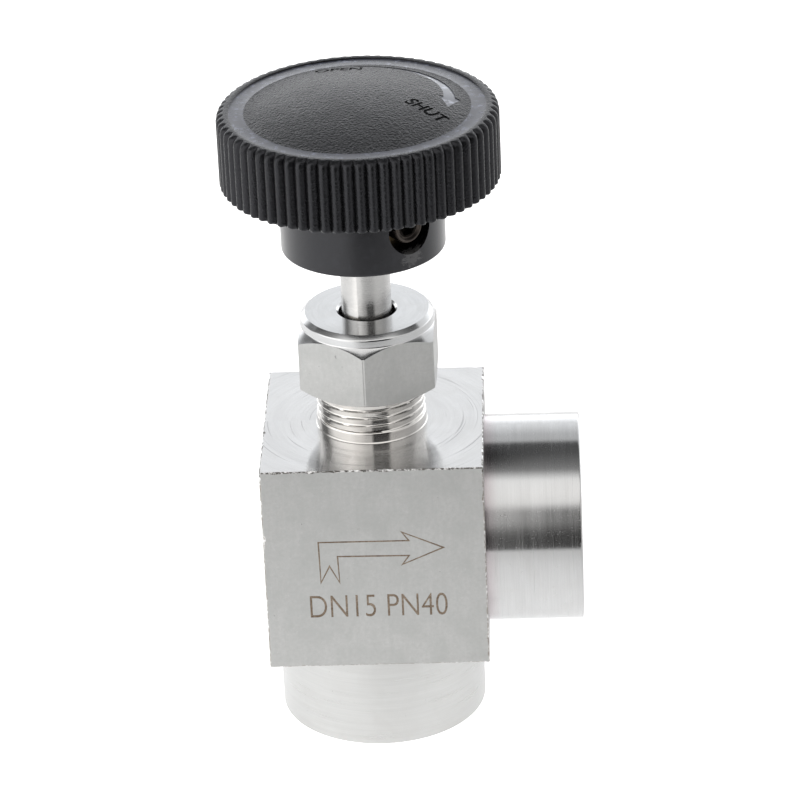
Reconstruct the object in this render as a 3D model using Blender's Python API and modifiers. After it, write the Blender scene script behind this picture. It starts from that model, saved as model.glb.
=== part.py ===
"""Angle needle valve with two G1/2 sockets, built as separate solids.

Units are metres and +Z is up. The valve stands on its inlet end face, at Z = 0, and the
origin is the middle of its footprint. The outlet points along +X, and the front face along
-Y. Pieces are drawn about the stem axis, which crosses the base at X = STEM_AXIS. The
valve is closed: the needle is on its seat and the knob is at its lowest.
"""

import math

import bmesh
import bpy

# ---- Clearance and roundness ------------------------------------------------
GAP = 0.0003                  # between neighbouring pieces
OVERRUN = 0.0010              # how far a cutter runs past the face that it opens
COARSE_STEPS = 32
FINE_STEPS = 48
MERGE_DISTANCE = 0.000002

# ---- Stem and needle --------------------------------------------------------
STEM_RADIUS = 0.00315
STEM_TRAVEL = 0.0050          # five turns of a 1 mm pitch thread
STEM_THREAD_RADIUS = STEM_RADIUS + 0.00055
STEM_THREAD_LENGTH = 0.0070
STEM_FLAT_DISTANCE = STEM_RADIUS - 0.00055   # flat for the set screw, from the stem axis
STEM_FLAT_LENGTH = 0.0060
STEM_IN_KNOB = 0.0122
ORIFICE_RADIUS = 0.0025
ORIFICE_LENGTH = 0.0035
NEEDLE_HALF_ANGLE = math.radians(20)
NEEDLE_POINT_RADIUS = 0.0006
NEEDLE_HEAD_RADIUS = ORIFICE_RADIUS + 0.0004
NEEDLE_HEAD_LENGTH = 0.0010
STEM_FOOT_RADIUS = NEEDLE_HEAD_RADIUS + 0.0002
SPIGOT_RADIUS = 0.0015
SPIGOT_LENGTH = 0.0036
SNAP_RING_SECTION = 0.0005
SNAP_RING_RADIUS = SPIGOT_RADIUS + GAP       # middle of the wire
SNAP_RING_GAP_ANGLE = math.radians(40)

# ---- Body -------------------------------------------------------------------
SOCKET_RADIUS = 0.009315      # G1/2 thread, minor diameter 18.63
SOCKET_MOUTH_RADIUS = SOCKET_RADIUS + 0.001235
SOCKET_DEPTH = 0.0135
BOSS_RADIUS = SOCKET_MOUTH_RADIUS + 0.0027
BOSS_CHAMFER = 0.00035
INLET_BOSS_LENGTH = 0.0124
OUTLET_BOSS_LENGTH = 0.0122
BLOCK_WIDTH = 2 * (BOSS_RADIUS + 0.00075)
BLOCK_DEPTH = 2 * (BOSS_RADIUS + 0.0010)
BLOCK_HEIGHT = 2 * (BOSS_RADIUS + 0.00075)
BLOCK_SHIFT = 0.0002          # the block's middle sits this far along +X from the stem axis
BLOCK_EDGE = 0.0002
OUTLET_HEIGHT = BLOCK_HEIGHT / 2 - 0.0006    # outlet axis above the block's bottom face
PASSAGE_RADIUS = 0.0040
CHAMBER_RADIUS = STEM_THREAD_RADIUS + GAP + 0.0006
CHAMBER_MARGIN = 0.0010       # chamber floor and roof, beyond the outlet passage
PACKING_BORE_RADIUS = STEM_RADIUS + 0.00195
PACKING_BORE_DEPTH = 0.0082
NECK_RADIUS = PACKING_BORE_RADIUS + 0.0018   # M14 x 1 thread
NECK_LENGTH = 0.0102
NECK_CHAMFER = 0.0005

# ---- Packing and gland ------------------------------------------------------
PACKING_WASHER_THICKNESS = 0.0008
PACKING_RING_COUNT = 3
PACKING_RING_THICKNESS = 0.0006
PACKING_RING_RISE = 0.0006    # height of the chevron's ridge above its two lips
PACKING_END_THICKNESS = 0.0006
FOLLOWER_FLANGE_RADIUS = NECK_RADIUS - 0.0005
FOLLOWER_FLANGE_THICKNESS = 0.0014
THRUST_WASHER_THICKNESS = 0.0006
GLAND_RESERVE = 0.0008        # neck's top to the follower's flange, left for tightening

# ---- Packing nut ------------------------------------------------------------
NUT_ACROSS_FLATS = 2 * (NECK_RADIUS + 0.0016)
NUT_HEIGHT = 0.0097
NUT_ROOF_THICKNESS = 0.0020
NUT_COLLAR_RADIUS = NUT_ACROSS_FLATS / 2 - 0.00005
NUT_COLLAR_HEIGHT = 0.0016
NUT_COLLAR_CHAMFER = 0.0006
NUT_UPPER_DROP = 0.0010       # cone from the collar down to the hexagon's corners
NUT_LOWER_RISE = 0.0009
NUT_HOLE_RADIUS = STEM_RADIUS + 0.0004
NUT_HOLE_CHAMFER = 0.00025
NUT_TURN = math.radians(-1.8)   # one corner points almost straight to the front

# ---- Knob -------------------------------------------------------------------
KNOB_GAP = 0.0091             # nut top to the hub's lower face when closed
KNOB_RADIUS = 0.0175
KNOB_RIM_HEIGHT = 0.0093
KNOB_CROWN_HEIGHT = 0.0017    # middle of the crown above the rim's top
KNOB_SHOULDER = 0.0007        # rounding of the flutes' upper ends
KNOB_GROOVE_OUTER = KNOB_RADIUS - 0.0016
KNOB_GROOVE_INNER = KNOB_RADIUS - 0.00345
KNOB_GROOVE_DEPTH = 0.00025
FLUTE_COUNT = 72
FLUTE_DEPTH = 0.00045
INSERT_RADIUS = STEM_RADIUS + 0.00285
HUB_RADIUS = INSERT_RADIUS + 0.0043
HUB_LENGTH = 0.0091
HUB_EDGE = 0.0003
SKIRT_WALL = 0.0018
SKIRT_POCKET_DEPTH = 0.0055
SKIRT_RIB_COUNT = 8
SKIRT_RIB_WIDTH = 0.0011
SCREW_HEIGHT = 0.0053         # set screw's axis above the hub's lower face
SCREW_DIRECTION = math.radians(-52)
SCREW_RADIUS = 0.0017         # M4, drawn at its thread's minor diameter
SCREW_LENGTH = 0.0070         # its outer end lies just inside the hub's surface
SCREW_WELL_RADIUS = 0.0031
SCREW_SOCKET_RADIUS = 0.00115
SCREW_SOCKET_DEPTH = 0.0013

# ---- Levels along the stem axis ---------------------------------------------
BLOCK_BOTTOM = INLET_BOSS_LENGTH
BLOCK_TOP = BLOCK_BOTTOM + BLOCK_HEIGHT
OUTLET_AXIS = BLOCK_BOTTOM + OUTLET_HEIGHT
OUTLET_FACE = BLOCK_SHIFT + BLOCK_WIDTH / 2 + OUTLET_BOSS_LENGTH
CHAMBER_FLOOR = OUTLET_AXIS - PASSAGE_RADIUS - CHAMBER_MARGIN
CHAMBER_ROOF = OUTLET_AXIS + PASSAGE_RADIUS + CHAMBER_MARGIN
NECK_TOP = BLOCK_TOP + NECK_LENGTH
PACKING_FLOOR = NECK_TOP - PACKING_BORE_DEPTH
FLANGE_BOTTOM = NECK_TOP + GLAND_RESERVE
FLANGE_TOP = FLANGE_BOTTOM + FOLLOWER_FLANGE_THICKNESS
THRUST_WASHER_TOP = FLANGE_TOP + GAP + THRUST_WASHER_THICKNESS
NUT_ROOF = THRUST_WASHER_TOP + GAP
NUT_TOP = NUT_ROOF + NUT_ROOF_THICKNESS
NUT_BOTTOM = NUT_TOP - NUT_HEIGHT
HUB_BOTTOM = NUT_TOP + KNOB_GAP
RIM_BOTTOM = HUB_BOTTOM + HUB_LENGTH
RIM_TOP = RIM_BOTTOM + KNOB_RIM_HEIGHT
STEM_TOP = HUB_BOTTOM + STEM_IN_KNOB
SCREW_AXIS = HUB_BOTTOM + SCREW_HEIGHT
STEM_AXIS = (KNOB_RADIUS - OUTLET_FACE) / 2


def clear_scene():
    for obj in list(bpy.data.objects):
        bpy.data.objects.remove(obj, do_unlink=True)


def new_collection(name):
    collection = bpy.data.collections.new(name)
    bpy.context.scene.collection.children.link(collection)
    return collection


def finish(name, colour, roughness, metallic):
    material = bpy.data.materials.new(name)
    material.use_nodes = True
    shader = material.node_tree.nodes["Principled BSDF"]
    shader.inputs["Base Color"].default_value = (*colour, 1.0)
    shader.inputs["Roughness"].default_value = roughness
    shader.inputs["Metallic"].default_value = metallic
    return material


def add_object(name, mesh, group, material=None):
    obj = bpy.data.objects.new(name, mesh)
    group.objects.link(obj)
    if material:
        mesh.materials.append(material)
    return obj


def turned(name, outline, group, material=None, steps=COARSE_STEPS, closed=False):
    """Turn (radius, height) points about Z. They run down the outer side, top to bottom."""
    points = [(radius, 0.0, height) for radius, height in outline]
    edges = [(i, i + 1) for i in range(len(points) - 1)]
    if closed:
        edges.append((len(points) - 1, 0))
    mesh = bpy.data.meshes.new(name)
    mesh.from_pydata(points, edges, [])
    obj = add_object(name, mesh, group, material)
    screw = obj.modifiers.new("Turn", "SCREW")
    screw.axis = "Z"
    screw.angle = math.tau
    screw.steps = steps
    screw.render_steps = steps
    screw.use_merge_vertices = True
    screw.merge_threshold = MERGE_DISTANCE
    screw.use_smooth_shade = True
    return obj


def tube(name, outer, inner, bottom, top, group, material=None, steps=COARSE_STEPS):
    outline = [(outer, top), (outer, bottom), (inner, bottom), (inner, top)]
    return turned(name, outline, group, material, steps, closed=True)


def box(name, size, centre, group, material=None):
    mesh = bpy.data.meshes.new(name)
    shape = bmesh.new()
    bmesh.ops.create_cube(shape, size=1.0)
    bmesh.ops.scale(shape, vec=size, verts=shape.verts)
    shape.to_mesh(mesh)
    shape.free()
    obj = add_object(name, mesh, group, material)
    obj.location = centre
    return obj


def prism(name, sides, radius, bottom, top, group):
    """An upright prism with one corner on the +Y side."""
    mesh = bpy.data.meshes.new(name)
    shape = bmesh.new()
    bmesh.ops.create_cone(
        shape, cap_ends=True, segments=sides, radius1=radius, radius2=radius, depth=top - bottom
    )
    shape.to_mesh(mesh)
    shape.free()
    obj = add_object(name, mesh, group)
    obj.location.z = (top + bottom) / 2
    return obj


def combine(target, tool, operation):
    tool.hide_render = True
    tool.display_type = "WIRE"
    modifier = target.modifiers.new(tool.name, "BOOLEAN")
    modifier.operation = operation
    modifier.object = tool


def lay_along_x(obj, height):
    """Turn an upright piece so that its bottom-to-top direction runs along +X."""
    obj.rotation_euler.y = math.pi / 2
    obj.location.z = height


def empty_at(name, height, group):
    empty = bpy.data.objects.new(name, None)
    group.objects.link(empty)
    empty.location.z = height
    return empty


def hang_on(empty, pieces):
    """Parent the pieces to an empty on their joint's axis, and leave them where they are."""
    for piece in pieces:
        piece.parent = empty
        piece.location.z -= empty.location.z


def socket_outline(face, direction):
    """Cutter for a threaded socket that opens at face; direction is +1 if it opens upwards."""
    mouth_depth = SOCKET_MOUTH_RADIUS - SOCKET_RADIUS
    levels = [
        (SOCKET_MOUTH_RADIUS, OVERRUN),
        (SOCKET_MOUTH_RADIUS, 0.0),
        (SOCKET_RADIUS, -mouth_depth),
        (SOCKET_RADIUS, -SOCKET_DEPTH),
    ]
    outline = [(radius, face + direction * level) for radius, level in levels]
    if direction < 0:
        outline.reverse()
    return [(0.0, outline[0][1]), *outline, (0.0, outline[-1][1])]


def boss_outline(root, end):
    """Round boss from inside the block to its chamfered end face, above or below it."""
    chamfer = math.copysign(BOSS_CHAMFER, end - root)
    outline = [
        (0.0, end),
        (BOSS_RADIUS - BOSS_CHAMFER, end),
        (BOSS_RADIUS, end - chamfer),
        (BOSS_RADIUS, root),
        (0.0, root),
    ]
    return outline if end > root else outline[::-1]


def make_valve_body(group, cutters, material):
    body = box(
        "valve_body",
        (BLOCK_WIDTH, BLOCK_DEPTH, BLOCK_HEIGHT),
        (BLOCK_SHIFT, 0.0, BLOCK_BOTTOM + BLOCK_HEIGHT / 2),
        group,
        material,
    )
    edge = body.modifiers.new("Broken edges", "BEVEL")
    edge.width = BLOCK_EDGE
    edge.segments = 1

    inlet_boss = turned(
        "inlet_boss", boss_outline(BLOCK_BOTTOM + OVERRUN, 0.0), cutters, steps=FINE_STEPS
    )
    outlet_root = OUTLET_FACE - OUTLET_BOSS_LENGTH - OVERRUN
    outlet_boss = turned(
        "outlet_boss", boss_outline(outlet_root, OUTLET_FACE), cutters, steps=FINE_STEPS
    )
    lay_along_x(outlet_boss, OUTLET_AXIS)
    neck = turned(
        "neck",
        [
            (0.0, NECK_TOP),
            (NECK_RADIUS - NECK_CHAMFER, NECK_TOP),
            (NECK_RADIUS, NECK_TOP - NECK_CHAMFER),
            (NECK_RADIUS, BLOCK_TOP - OVERRUN),
            (0.0, BLOCK_TOP - OVERRUN),
        ],
        cutters,
    )
    for boss in (inlet_boss, outlet_boss, neck):
        combine(body, boss, "UNION")

    inlet_socket = turned(
        "inlet_socket", socket_outline(0.0, -1), cutters, steps=FINE_STEPS
    )
    outlet_socket = turned(
        "outlet_socket", socket_outline(OUTLET_FACE, 1), cutters, steps=FINE_STEPS
    )
    lay_along_x(outlet_socket, OUTLET_AXIS)
    thread_bore = STEM_THREAD_RADIUS + GAP
    stem_bore = turned(
        "stem_bore",
        [
            (0.0, NECK_TOP + OVERRUN),
            (PACKING_BORE_RADIUS, NECK_TOP + OVERRUN),
            (PACKING_BORE_RADIUS, PACKING_FLOOR),
            (thread_bore, PACKING_FLOOR),
            (thread_bore, CHAMBER_ROOF),
            (CHAMBER_RADIUS, CHAMBER_ROOF - (CHAMBER_RADIUS - thread_bore)),
            (CHAMBER_RADIUS, CHAMBER_FLOOR),
            (ORIFICE_RADIUS, CHAMBER_FLOOR),
            (ORIFICE_RADIUS, CHAMBER_FLOOR - ORIFICE_LENGTH),
            (PASSAGE_RADIUS, CHAMBER_FLOOR - ORIFICE_LENGTH - (PASSAGE_RADIUS - ORIFICE_RADIUS)),
            (PASSAGE_RADIUS, SOCKET_DEPTH - OVERRUN),
            (0.0, SOCKET_DEPTH - OVERRUN),
        ],
        cutters,
    )
    outlet_reach = OUTLET_FACE - SOCKET_DEPTH + OVERRUN
    outlet_passage = turned(
        "outlet_passage",
        [(0.0, outlet_reach), (PASSAGE_RADIUS, outlet_reach), (PASSAGE_RADIUS, 0.0), (0.0, 0.0)],
        cutters,
    )
    lay_along_x(outlet_passage, OUTLET_AXIS)
    for hollow in (inlet_socket, outlet_socket, stem_bore, outlet_passage):
        combine(body, hollow, "DIFFERENCE")
    return body


def needle_levels():
    """Heights of the needle's point, cone top, head top, spigot top and ring groove."""
    seat_radius = ORIFICE_RADIUS - GAP / math.cos(NEEDLE_HALF_ANGLE)
    slope = math.tan(NEEDLE_HALF_ANGLE)
    point = CHAMBER_FLOOR - (seat_radius - NEEDLE_POINT_RADIUS) / slope
    cone_top = CHAMBER_FLOOR + (NEEDLE_HEAD_RADIUS - seat_radius) / slope
    head_top = cone_top + NEEDLE_HEAD_LENGTH
    spigot_top = head_top + SPIGOT_LENGTH
    groove = head_top + SPIGOT_LENGTH / 2
    return point, cone_top, head_top, spigot_top, groove


def make_needle_tip(group, material):
    point, cone_top, head_top, spigot_top, groove = needle_levels()
    groove_half = SNAP_RING_SECTION / 2 + GAP
    groove_radius = SNAP_RING_RADIUS - SNAP_RING_SECTION / 2 - GAP
    return turned(
        "needle_tip",
        [
            (0.0, spigot_top),
            (SPIGOT_RADIUS, spigot_top),
            (SPIGOT_RADIUS, groove + groove_half),
            (groove_radius, groove + groove_half),
            (groove_radius, groove - groove_half),
            (SPIGOT_RADIUS, groove - groove_half),
            (SPIGOT_RADIUS, head_top),
            (NEEDLE_HEAD_RADIUS, head_top),
            (NEEDLE_HEAD_RADIUS, cone_top),
            (NEEDLE_POINT_RADIUS, point),
            (0.0, point),
        ],
        group,
        material,
    )


def make_snap_ring(group, material):
    """Open wire ring that holds the needle tip in the stem's socket."""
    groove = needle_levels()[4]
    curve = bpy.data.curves.new("tip_snap_ring", "CURVE")
    curve.dimensions = "3D"
    curve.bevel_depth = SNAP_RING_SECTION / 2
    curve.bevel_resolution = 1
    curve.use_fill_caps = True
    spline = curve.splines.new("POLY")
    point_count = 24
    spline.points.add(point_count - 1)
    sweep = math.tau - SNAP_RING_GAP_ANGLE
    for index, point in enumerate(spline.points):
        angle = SNAP_RING_GAP_ANGLE / 2 + sweep * index / (point_count - 1)
        point.co = (
            SNAP_RING_RADIUS * math.cos(angle), SNAP_RING_RADIUS * math.sin(angle), 0.0, 1.0
        )
    ring = add_object("tip_snap_ring", curve, group, material)
    ring.location.z = groove
    return ring


def make_stem(group, cutters, material):
    head_top, spigot_top, groove = needle_levels()[2:]
    foot_bottom = head_top + GAP
    socket_radius = SPIGOT_RADIUS + GAP
    socket_top = spigot_top + GAP
    groove_half = SNAP_RING_SECTION / 2 + GAP
    groove_radius = SNAP_RING_RADIUS + SNAP_RING_SECTION / 2 + GAP
    thread_top = PACKING_FLOOR - STEM_TRAVEL
    thread_bottom = thread_top - STEM_THREAD_LENGTH
    chamfer = STEM_THREAD_RADIUS - STEM_RADIUS
    stem = turned(
        "stem",
        [
            (0.0, STEM_TOP),
            (STEM_RADIUS - GAP, STEM_TOP),
            (STEM_RADIUS, STEM_TOP - GAP),
            (STEM_RADIUS, thread_top),
            (STEM_THREAD_RADIUS, thread_top - chamfer),
            (STEM_THREAD_RADIUS, thread_bottom + chamfer),
            (STEM_FOOT_RADIUS, thread_bottom),
            (STEM_FOOT_RADIUS, foot_bottom),
            (socket_radius, foot_bottom),
            (socket_radius, groove - groove_half),
            (groove_radius, groove - groove_half),
            (groove_radius, groove + groove_half),
            (socket_radius, groove + groove_half),
            (socket_radius, socket_top),
            (0.0, socket_top),
        ],
        group,
        material,
    )
    flat = box(
        "stem_flat",
        (STEM_RADIUS, 2 * STEM_RADIUS + OVERRUN, STEM_FLAT_LENGTH),
        (0.0, 0.0, SCREW_AXIS),
        cutters,
    )
    reach = STEM_FLAT_DISTANCE + STEM_RADIUS / 2
    flat.rotation_euler.z = SCREW_DIRECTION
    flat.location.x = reach * math.cos(SCREW_DIRECTION)
    flat.location.y = reach * math.sin(SCREW_DIRECTION)
    combine(stem, flat, "DIFFERENCE")
    return stem


def packing_radii():
    """Inner, middle and outer radius of every ring that sits in the packing bore."""
    inner = STEM_RADIUS + GAP
    outer = PACKING_BORE_RADIUS - GAP
    return inner, (inner + outer) / 2, outer


def chevron_step():
    """Rise from one chevron to the next, with the gap measured square to the slope."""
    inner, middle, _ = packing_radii()
    slope = math.atan2(PACKING_RING_RISE, middle - inner)
    return PACKING_RING_THICKNESS + GAP / math.cos(slope)


def packing_levels():
    """Washer bottom, lower adapter bottom, first chevron, upper adapter lip and stack top."""
    washer = PACKING_FLOOR + GAP
    adapter = washer + PACKING_WASHER_THICKNESS + GAP
    first_ring = adapter + PACKING_END_THICKNESS + chevron_step() - PACKING_RING_THICKNESS
    upper_lip = first_ring + PACKING_RING_COUNT * chevron_step()
    stack_top = upper_lip + PACKING_RING_RISE + PACKING_END_THICKNESS
    return washer, adapter, first_ring, upper_lip, stack_top


def make_packing(group, steel, ptfe):
    inner, middle, outer = packing_radii()
    washer, adapter, first_ring, upper_lip, stack_top = packing_levels()
    pieces = [
        tube(
            "packing_washer", outer, inner, washer, washer + PACKING_WASHER_THICKNESS,
            group, steel,
        )
    ]
    lip = adapter + PACKING_END_THICKNESS
    outline = [
        (middle, lip + PACKING_RING_RISE),
        (outer, lip),
        (outer, adapter),
        (inner, adapter),
        (inner, lip),
    ]
    pieces.append(turned("packing_lower_adapter", outline, group, ptfe, closed=True))
    for index in range(PACKING_RING_COUNT):
        low = first_ring + index * chevron_step()
        high = low + PACKING_RING_THICKNESS
        outline = [
            (middle, high + PACKING_RING_RISE),
            (outer, high),
            (outer, low),
            (middle, low + PACKING_RING_RISE),
            (inner, low),
            (inner, high),
        ]
        pieces.append(
            turned(f"packing_chevron_{index + 1}", outline, group, ptfe, closed=True)
        )
    outline = [
        (outer, stack_top),
        (outer, upper_lip),
        (middle, upper_lip + PACKING_RING_RISE),
        (inner, upper_lip),
        (inner, stack_top),
    ]
    pieces.append(turned("packing_upper_adapter", outline, group, ptfe, closed=True))
    return pieces


def make_gland(group, follower_material, washer_material):
    inner, _, outer = packing_radii()
    stack_top = packing_levels()[4]
    follower = turned(
        "gland_follower",
        [
            (FOLLOWER_FLANGE_RADIUS, FLANGE_TOP),
            (FOLLOWER_FLANGE_RADIUS, FLANGE_BOTTOM),
            (outer, FLANGE_BOTTOM),
            (outer, stack_top + GAP),
            (inner, stack_top + GAP),
            (inner, FLANGE_TOP),
        ],
        group,
        follower_material,
        closed=True,
    )
    washer = tube(
        "gland_thrust_washer", FOLLOWER_FLANGE_RADIUS, inner, FLANGE_TOP + GAP,
        THRUST_WASHER_TOP, group, washer_material,
    )
    return [follower, washer]


def make_packing_nut(group, cutters, material):
    corner = NUT_ACROSS_FLATS / 2 / math.cos(math.pi / 6)
    cone = NUT_COLLAR_RADIUS
    hex_top = NUT_TOP - NUT_COLLAR_HEIGHT
    nut = turned(
        "packing_nut",
        [
            (0.0, NUT_TOP),
            (cone - NUT_COLLAR_CHAMFER, NUT_TOP),
            (cone, NUT_TOP - NUT_COLLAR_CHAMFER),
            (cone, hex_top),
            (corner, hex_top - NUT_UPPER_DROP),
            (corner + GAP, hex_top - NUT_UPPER_DROP),
            (corner + GAP, NUT_BOTTOM + NUT_LOWER_RISE),
            (corner, NUT_BOTTOM + NUT_LOWER_RISE),
            (cone, NUT_BOTTOM),
            (0.0, NUT_BOTTOM),
        ],
        group,
        material,
        steps=FINE_STEPS,
    )
    hexagon = prism("nut_hexagon", 6, corner, NUT_BOTTOM - OVERRUN, NUT_TOP + OVERRUN, cutters)
    hexagon.rotation_euler.z = NUT_TURN
    combine(nut, hexagon, "INTERSECT")
    hole_mouth = NUT_HOLE_RADIUS + NUT_HOLE_CHAMFER
    bore = turned(
        "nut_bore",
        [
            (0.0, NUT_TOP + OVERRUN),
            (hole_mouth, NUT_TOP + OVERRUN),
            (hole_mouth, NUT_TOP),
            (NUT_HOLE_RADIUS, NUT_TOP - NUT_HOLE_CHAMFER),
            (NUT_HOLE_RADIUS, NUT_ROOF),
            (NECK_RADIUS + GAP, NUT_ROOF),
            (NECK_RADIUS + GAP, NUT_BOTTOM - OVERRUN),
            (0.0, NUT_BOTTOM - OVERRUN),
        ],
        cutters,
    )
    combine(nut, bore, "DIFFERENCE")
    return nut


def crown_outline():
    """Shallow arc from the knob's middle to the ring, then the ring's step up to the rim."""
    groove_floor = RIM_TOP - KNOB_GROOVE_DEPTH
    rise = KNOB_CROWN_HEIGHT + KNOB_GROOVE_DEPTH
    sphere = (KNOB_GROOVE_INNER ** 2 + rise ** 2) / (2 * rise)
    centre = groove_floor + rise - sphere
    stations = 6
    points = []
    for index in range(stations + 1):
        radius = KNOB_GROOVE_INNER * index / stations
        points.append((radius, centre + math.sqrt(sphere ** 2 - radius ** 2)))
    points.append((KNOB_GROOVE_OUTER, groove_floor))
    points.append((KNOB_GROOVE_OUTER, RIM_TOP))
    return points


def make_fluted_prism(cutters):
    """Prism whose sides carry one shallow groove for every flute."""
    points_per_flute = 3
    bottom = HUB_BOTTOM - OVERRUN
    top = RIM_TOP + KNOB_CROWN_HEIGHT + OVERRUN
    flutes = prism(
        "knob_flutes", FLUTE_COUNT * points_per_flute, KNOB_RADIUS, bottom, top, cutters
    )
    step = math.tau / (FLUTE_COUNT * points_per_flute)
    for vertex in flutes.data.vertices:
        position = round(math.atan2(vertex.co.y, vertex.co.x) / step)
        if position % points_per_flute == 0:
            vertex.co.xy *= 1 - FLUTE_DEPTH / KNOB_RADIUS
    flutes.rotation_euler.z = math.pi / FLUTE_COUNT
    return flutes


def make_knob(group, cutters, material):
    pocket_outer = KNOB_RADIUS - SKIRT_WALL
    pocket_top = RIM_BOTTOM + SKIRT_POCKET_DEPTH
    bore_radius = INSERT_RADIUS + GAP
    bore_top = STEM_TOP + GAP
    knob = turned(
        "knob",
        [
            *crown_outline(),
            (KNOB_RADIUS - KNOB_SHOULDER, RIM_TOP),
            (KNOB_RADIUS + GAP, RIM_TOP - KNOB_SHOULDER - GAP),
            (KNOB_RADIUS + GAP, RIM_BOTTOM),
            (pocket_outer, RIM_BOTTOM),
            (pocket_outer, pocket_top),
            (HUB_RADIUS, pocket_top),
            (HUB_RADIUS, HUB_BOTTOM + HUB_EDGE),
            (HUB_RADIUS - HUB_EDGE, HUB_BOTTOM),
            (bore_radius, HUB_BOTTOM),
            (bore_radius, bore_top),
            (0.0, bore_top),
        ],
        group,
        material,
        steps=FLUTE_COUNT,
    )
    combine(knob, make_fluted_prism(cutters), "INTERSECT")

    rib_reach = pocket_outer + SKIRT_WALL / 2
    rib_root = HUB_RADIUS - OVERRUN
    rib_height = SKIRT_POCKET_DEPTH - HUB_EDGE
    for index in range(SKIRT_RIB_COUNT):
        direction = math.tau * (index + 0.5) / SKIRT_RIB_COUNT
        middle = (rib_reach + rib_root) / 2
        rib = box(
            f"skirt_rib_{index + 1}",
            (rib_reach - rib_root, SKIRT_RIB_WIDTH, rib_height + OVERRUN),
            (
                middle * math.cos(direction),
                middle * math.sin(direction),
                pocket_top + OVERRUN - (rib_height + OVERRUN) / 2,
            ),
            cutters,
        )
        rib.rotation_euler.z = direction
        combine(knob, rib, "UNION")

    well = radial_cutter("screw_well", SCREW_WELL_RADIUS, cutters)
    combine(knob, well, "DIFFERENCE")
    return knob


def aim_outwards(obj):
    """Lay an upright piece on the set screw's axis, with its top pointing outwards."""
    obj.rotation_euler = (0.0, math.pi / 2, SCREW_DIRECTION)
    obj.location.z = SCREW_AXIS


def radial_cutter(name, radius, cutters):
    """Cutter from the stem axis outwards through the hub, along the set screw."""
    reach = HUB_RADIUS + OVERRUN
    outline = [(0.0, reach), (radius, reach), (radius, 0.0), (0.0, 0.0)]
    cutter = turned(name, outline, cutters)
    aim_outwards(cutter)
    return cutter


def make_knob_insert(group, cutters, material):
    insert = tube(
        "knob_insert", INSERT_RADIUS, STEM_RADIUS + GAP, HUB_BOTTOM, STEM_TOP, group, material
    )
    tapping = radial_cutter("insert_tapping", SCREW_RADIUS + GAP, cutters)
    combine(insert, tapping, "DIFFERENCE")
    return insert


def make_set_screw(group, cutters, material):
    tip = STEM_FLAT_DISTANCE + GAP
    end = tip + SCREW_LENGTH
    chamfer = GAP
    screw = turned(
        "set_screw",
        [
            (0.0, end),
            (SCREW_RADIUS - chamfer, end),
            (SCREW_RADIUS, end - chamfer),
            (SCREW_RADIUS, tip + chamfer),
            (SCREW_RADIUS - chamfer, tip),
            (0.0, tip),
        ],
        group,
        material,
    )
    aim_outwards(screw)
    key = prism(
        "screw_hex_socket", 6, SCREW_SOCKET_RADIUS, end - SCREW_SOCKET_DEPTH, end + OVERRUN, cutters
    )
    middle = key.location.z
    aim_outwards(key)
    key.location.x = middle * math.cos(SCREW_DIRECTION)
    key.location.y = middle * math.sin(SCREW_DIRECTION)
    combine(screw, key, "DIFFERENCE")
    return screw


def build():
    clear_scene()
    parts = new_collection("angle_needle_valve")
    cutters = new_collection("cutters")

    stainless = finish("stainless_block", (0.56, 0.57, 0.56), 0.34, 1.0)
    bright_stainless = finish("stainless_turned", (0.66, 0.66, 0.65), 0.20, 1.0)
    hard_stainless = finish("stainless_hardened", (0.45, 0.45, 0.46), 0.28, 1.0)
    ptfe = finish("ptfe_white", (0.86, 0.86, 0.84), 0.55, 0.0)
    filled_ptfe = finish("ptfe_filled", (0.30, 0.30, 0.31), 0.55, 0.0)
    plastic = finish("knob_black", (0.035, 0.036, 0.040), 0.45, 0.0)
    brass = finish("brass_insert", (0.60, 0.46, 0.22), 0.35, 1.0)
    oxide = finish("screw_black_oxide", (0.06, 0.05, 0.045), 0.50, 1.0)
    spring = finish("spring_wire", (0.50, 0.50, 0.52), 0.30, 1.0)

    make_valve_body(parts, cutters, stainless)
    make_packing(parts, hard_stainless, ptfe)

    needle_axis = empty_at("stem_lift_axis", CHAMBER_FLOOR, parts)
    hang_on(needle_axis, [make_needle_tip(parts, hard_stainless)])

    stem_axis = empty_at("stem_turn_axis", HUB_BOTTOM, parts)
    turning_pieces = [
        make_stem(parts, cutters, bright_stainless),
        make_snap_ring(parts, spring),
        make_knob(parts, cutters, plastic),
        make_knob_insert(parts, cutters, brass),
        make_set_screw(parts, cutters, oxide),
    ]
    hang_on(stem_axis, turning_pieces)

    gland_axis = empty_at("gland_lift_axis", NECK_TOP, parts)
    hang_on(gland_axis, make_gland(parts, bright_stainless, filled_ptfe))
    nut_axis = empty_at("nut_turn_axis", NUT_BOTTOM, parts)
    hang_on(nut_axis, [make_packing_nut(parts, cutters, bright_stainless)])

    loose = [obj for obj in [*parts.objects, *cutters.objects] if not obj.parent]
    footprint = empty_at("footprint", 0.0, parts)
    hang_on(footprint, loose)
    footprint.location.x = STEM_AXIS


build()
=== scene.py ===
"""Angle needle valve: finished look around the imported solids, in metres, +Z up."""

import math

import bmesh
import bpy
from mathutils import Matrix, Vector, noise


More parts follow.
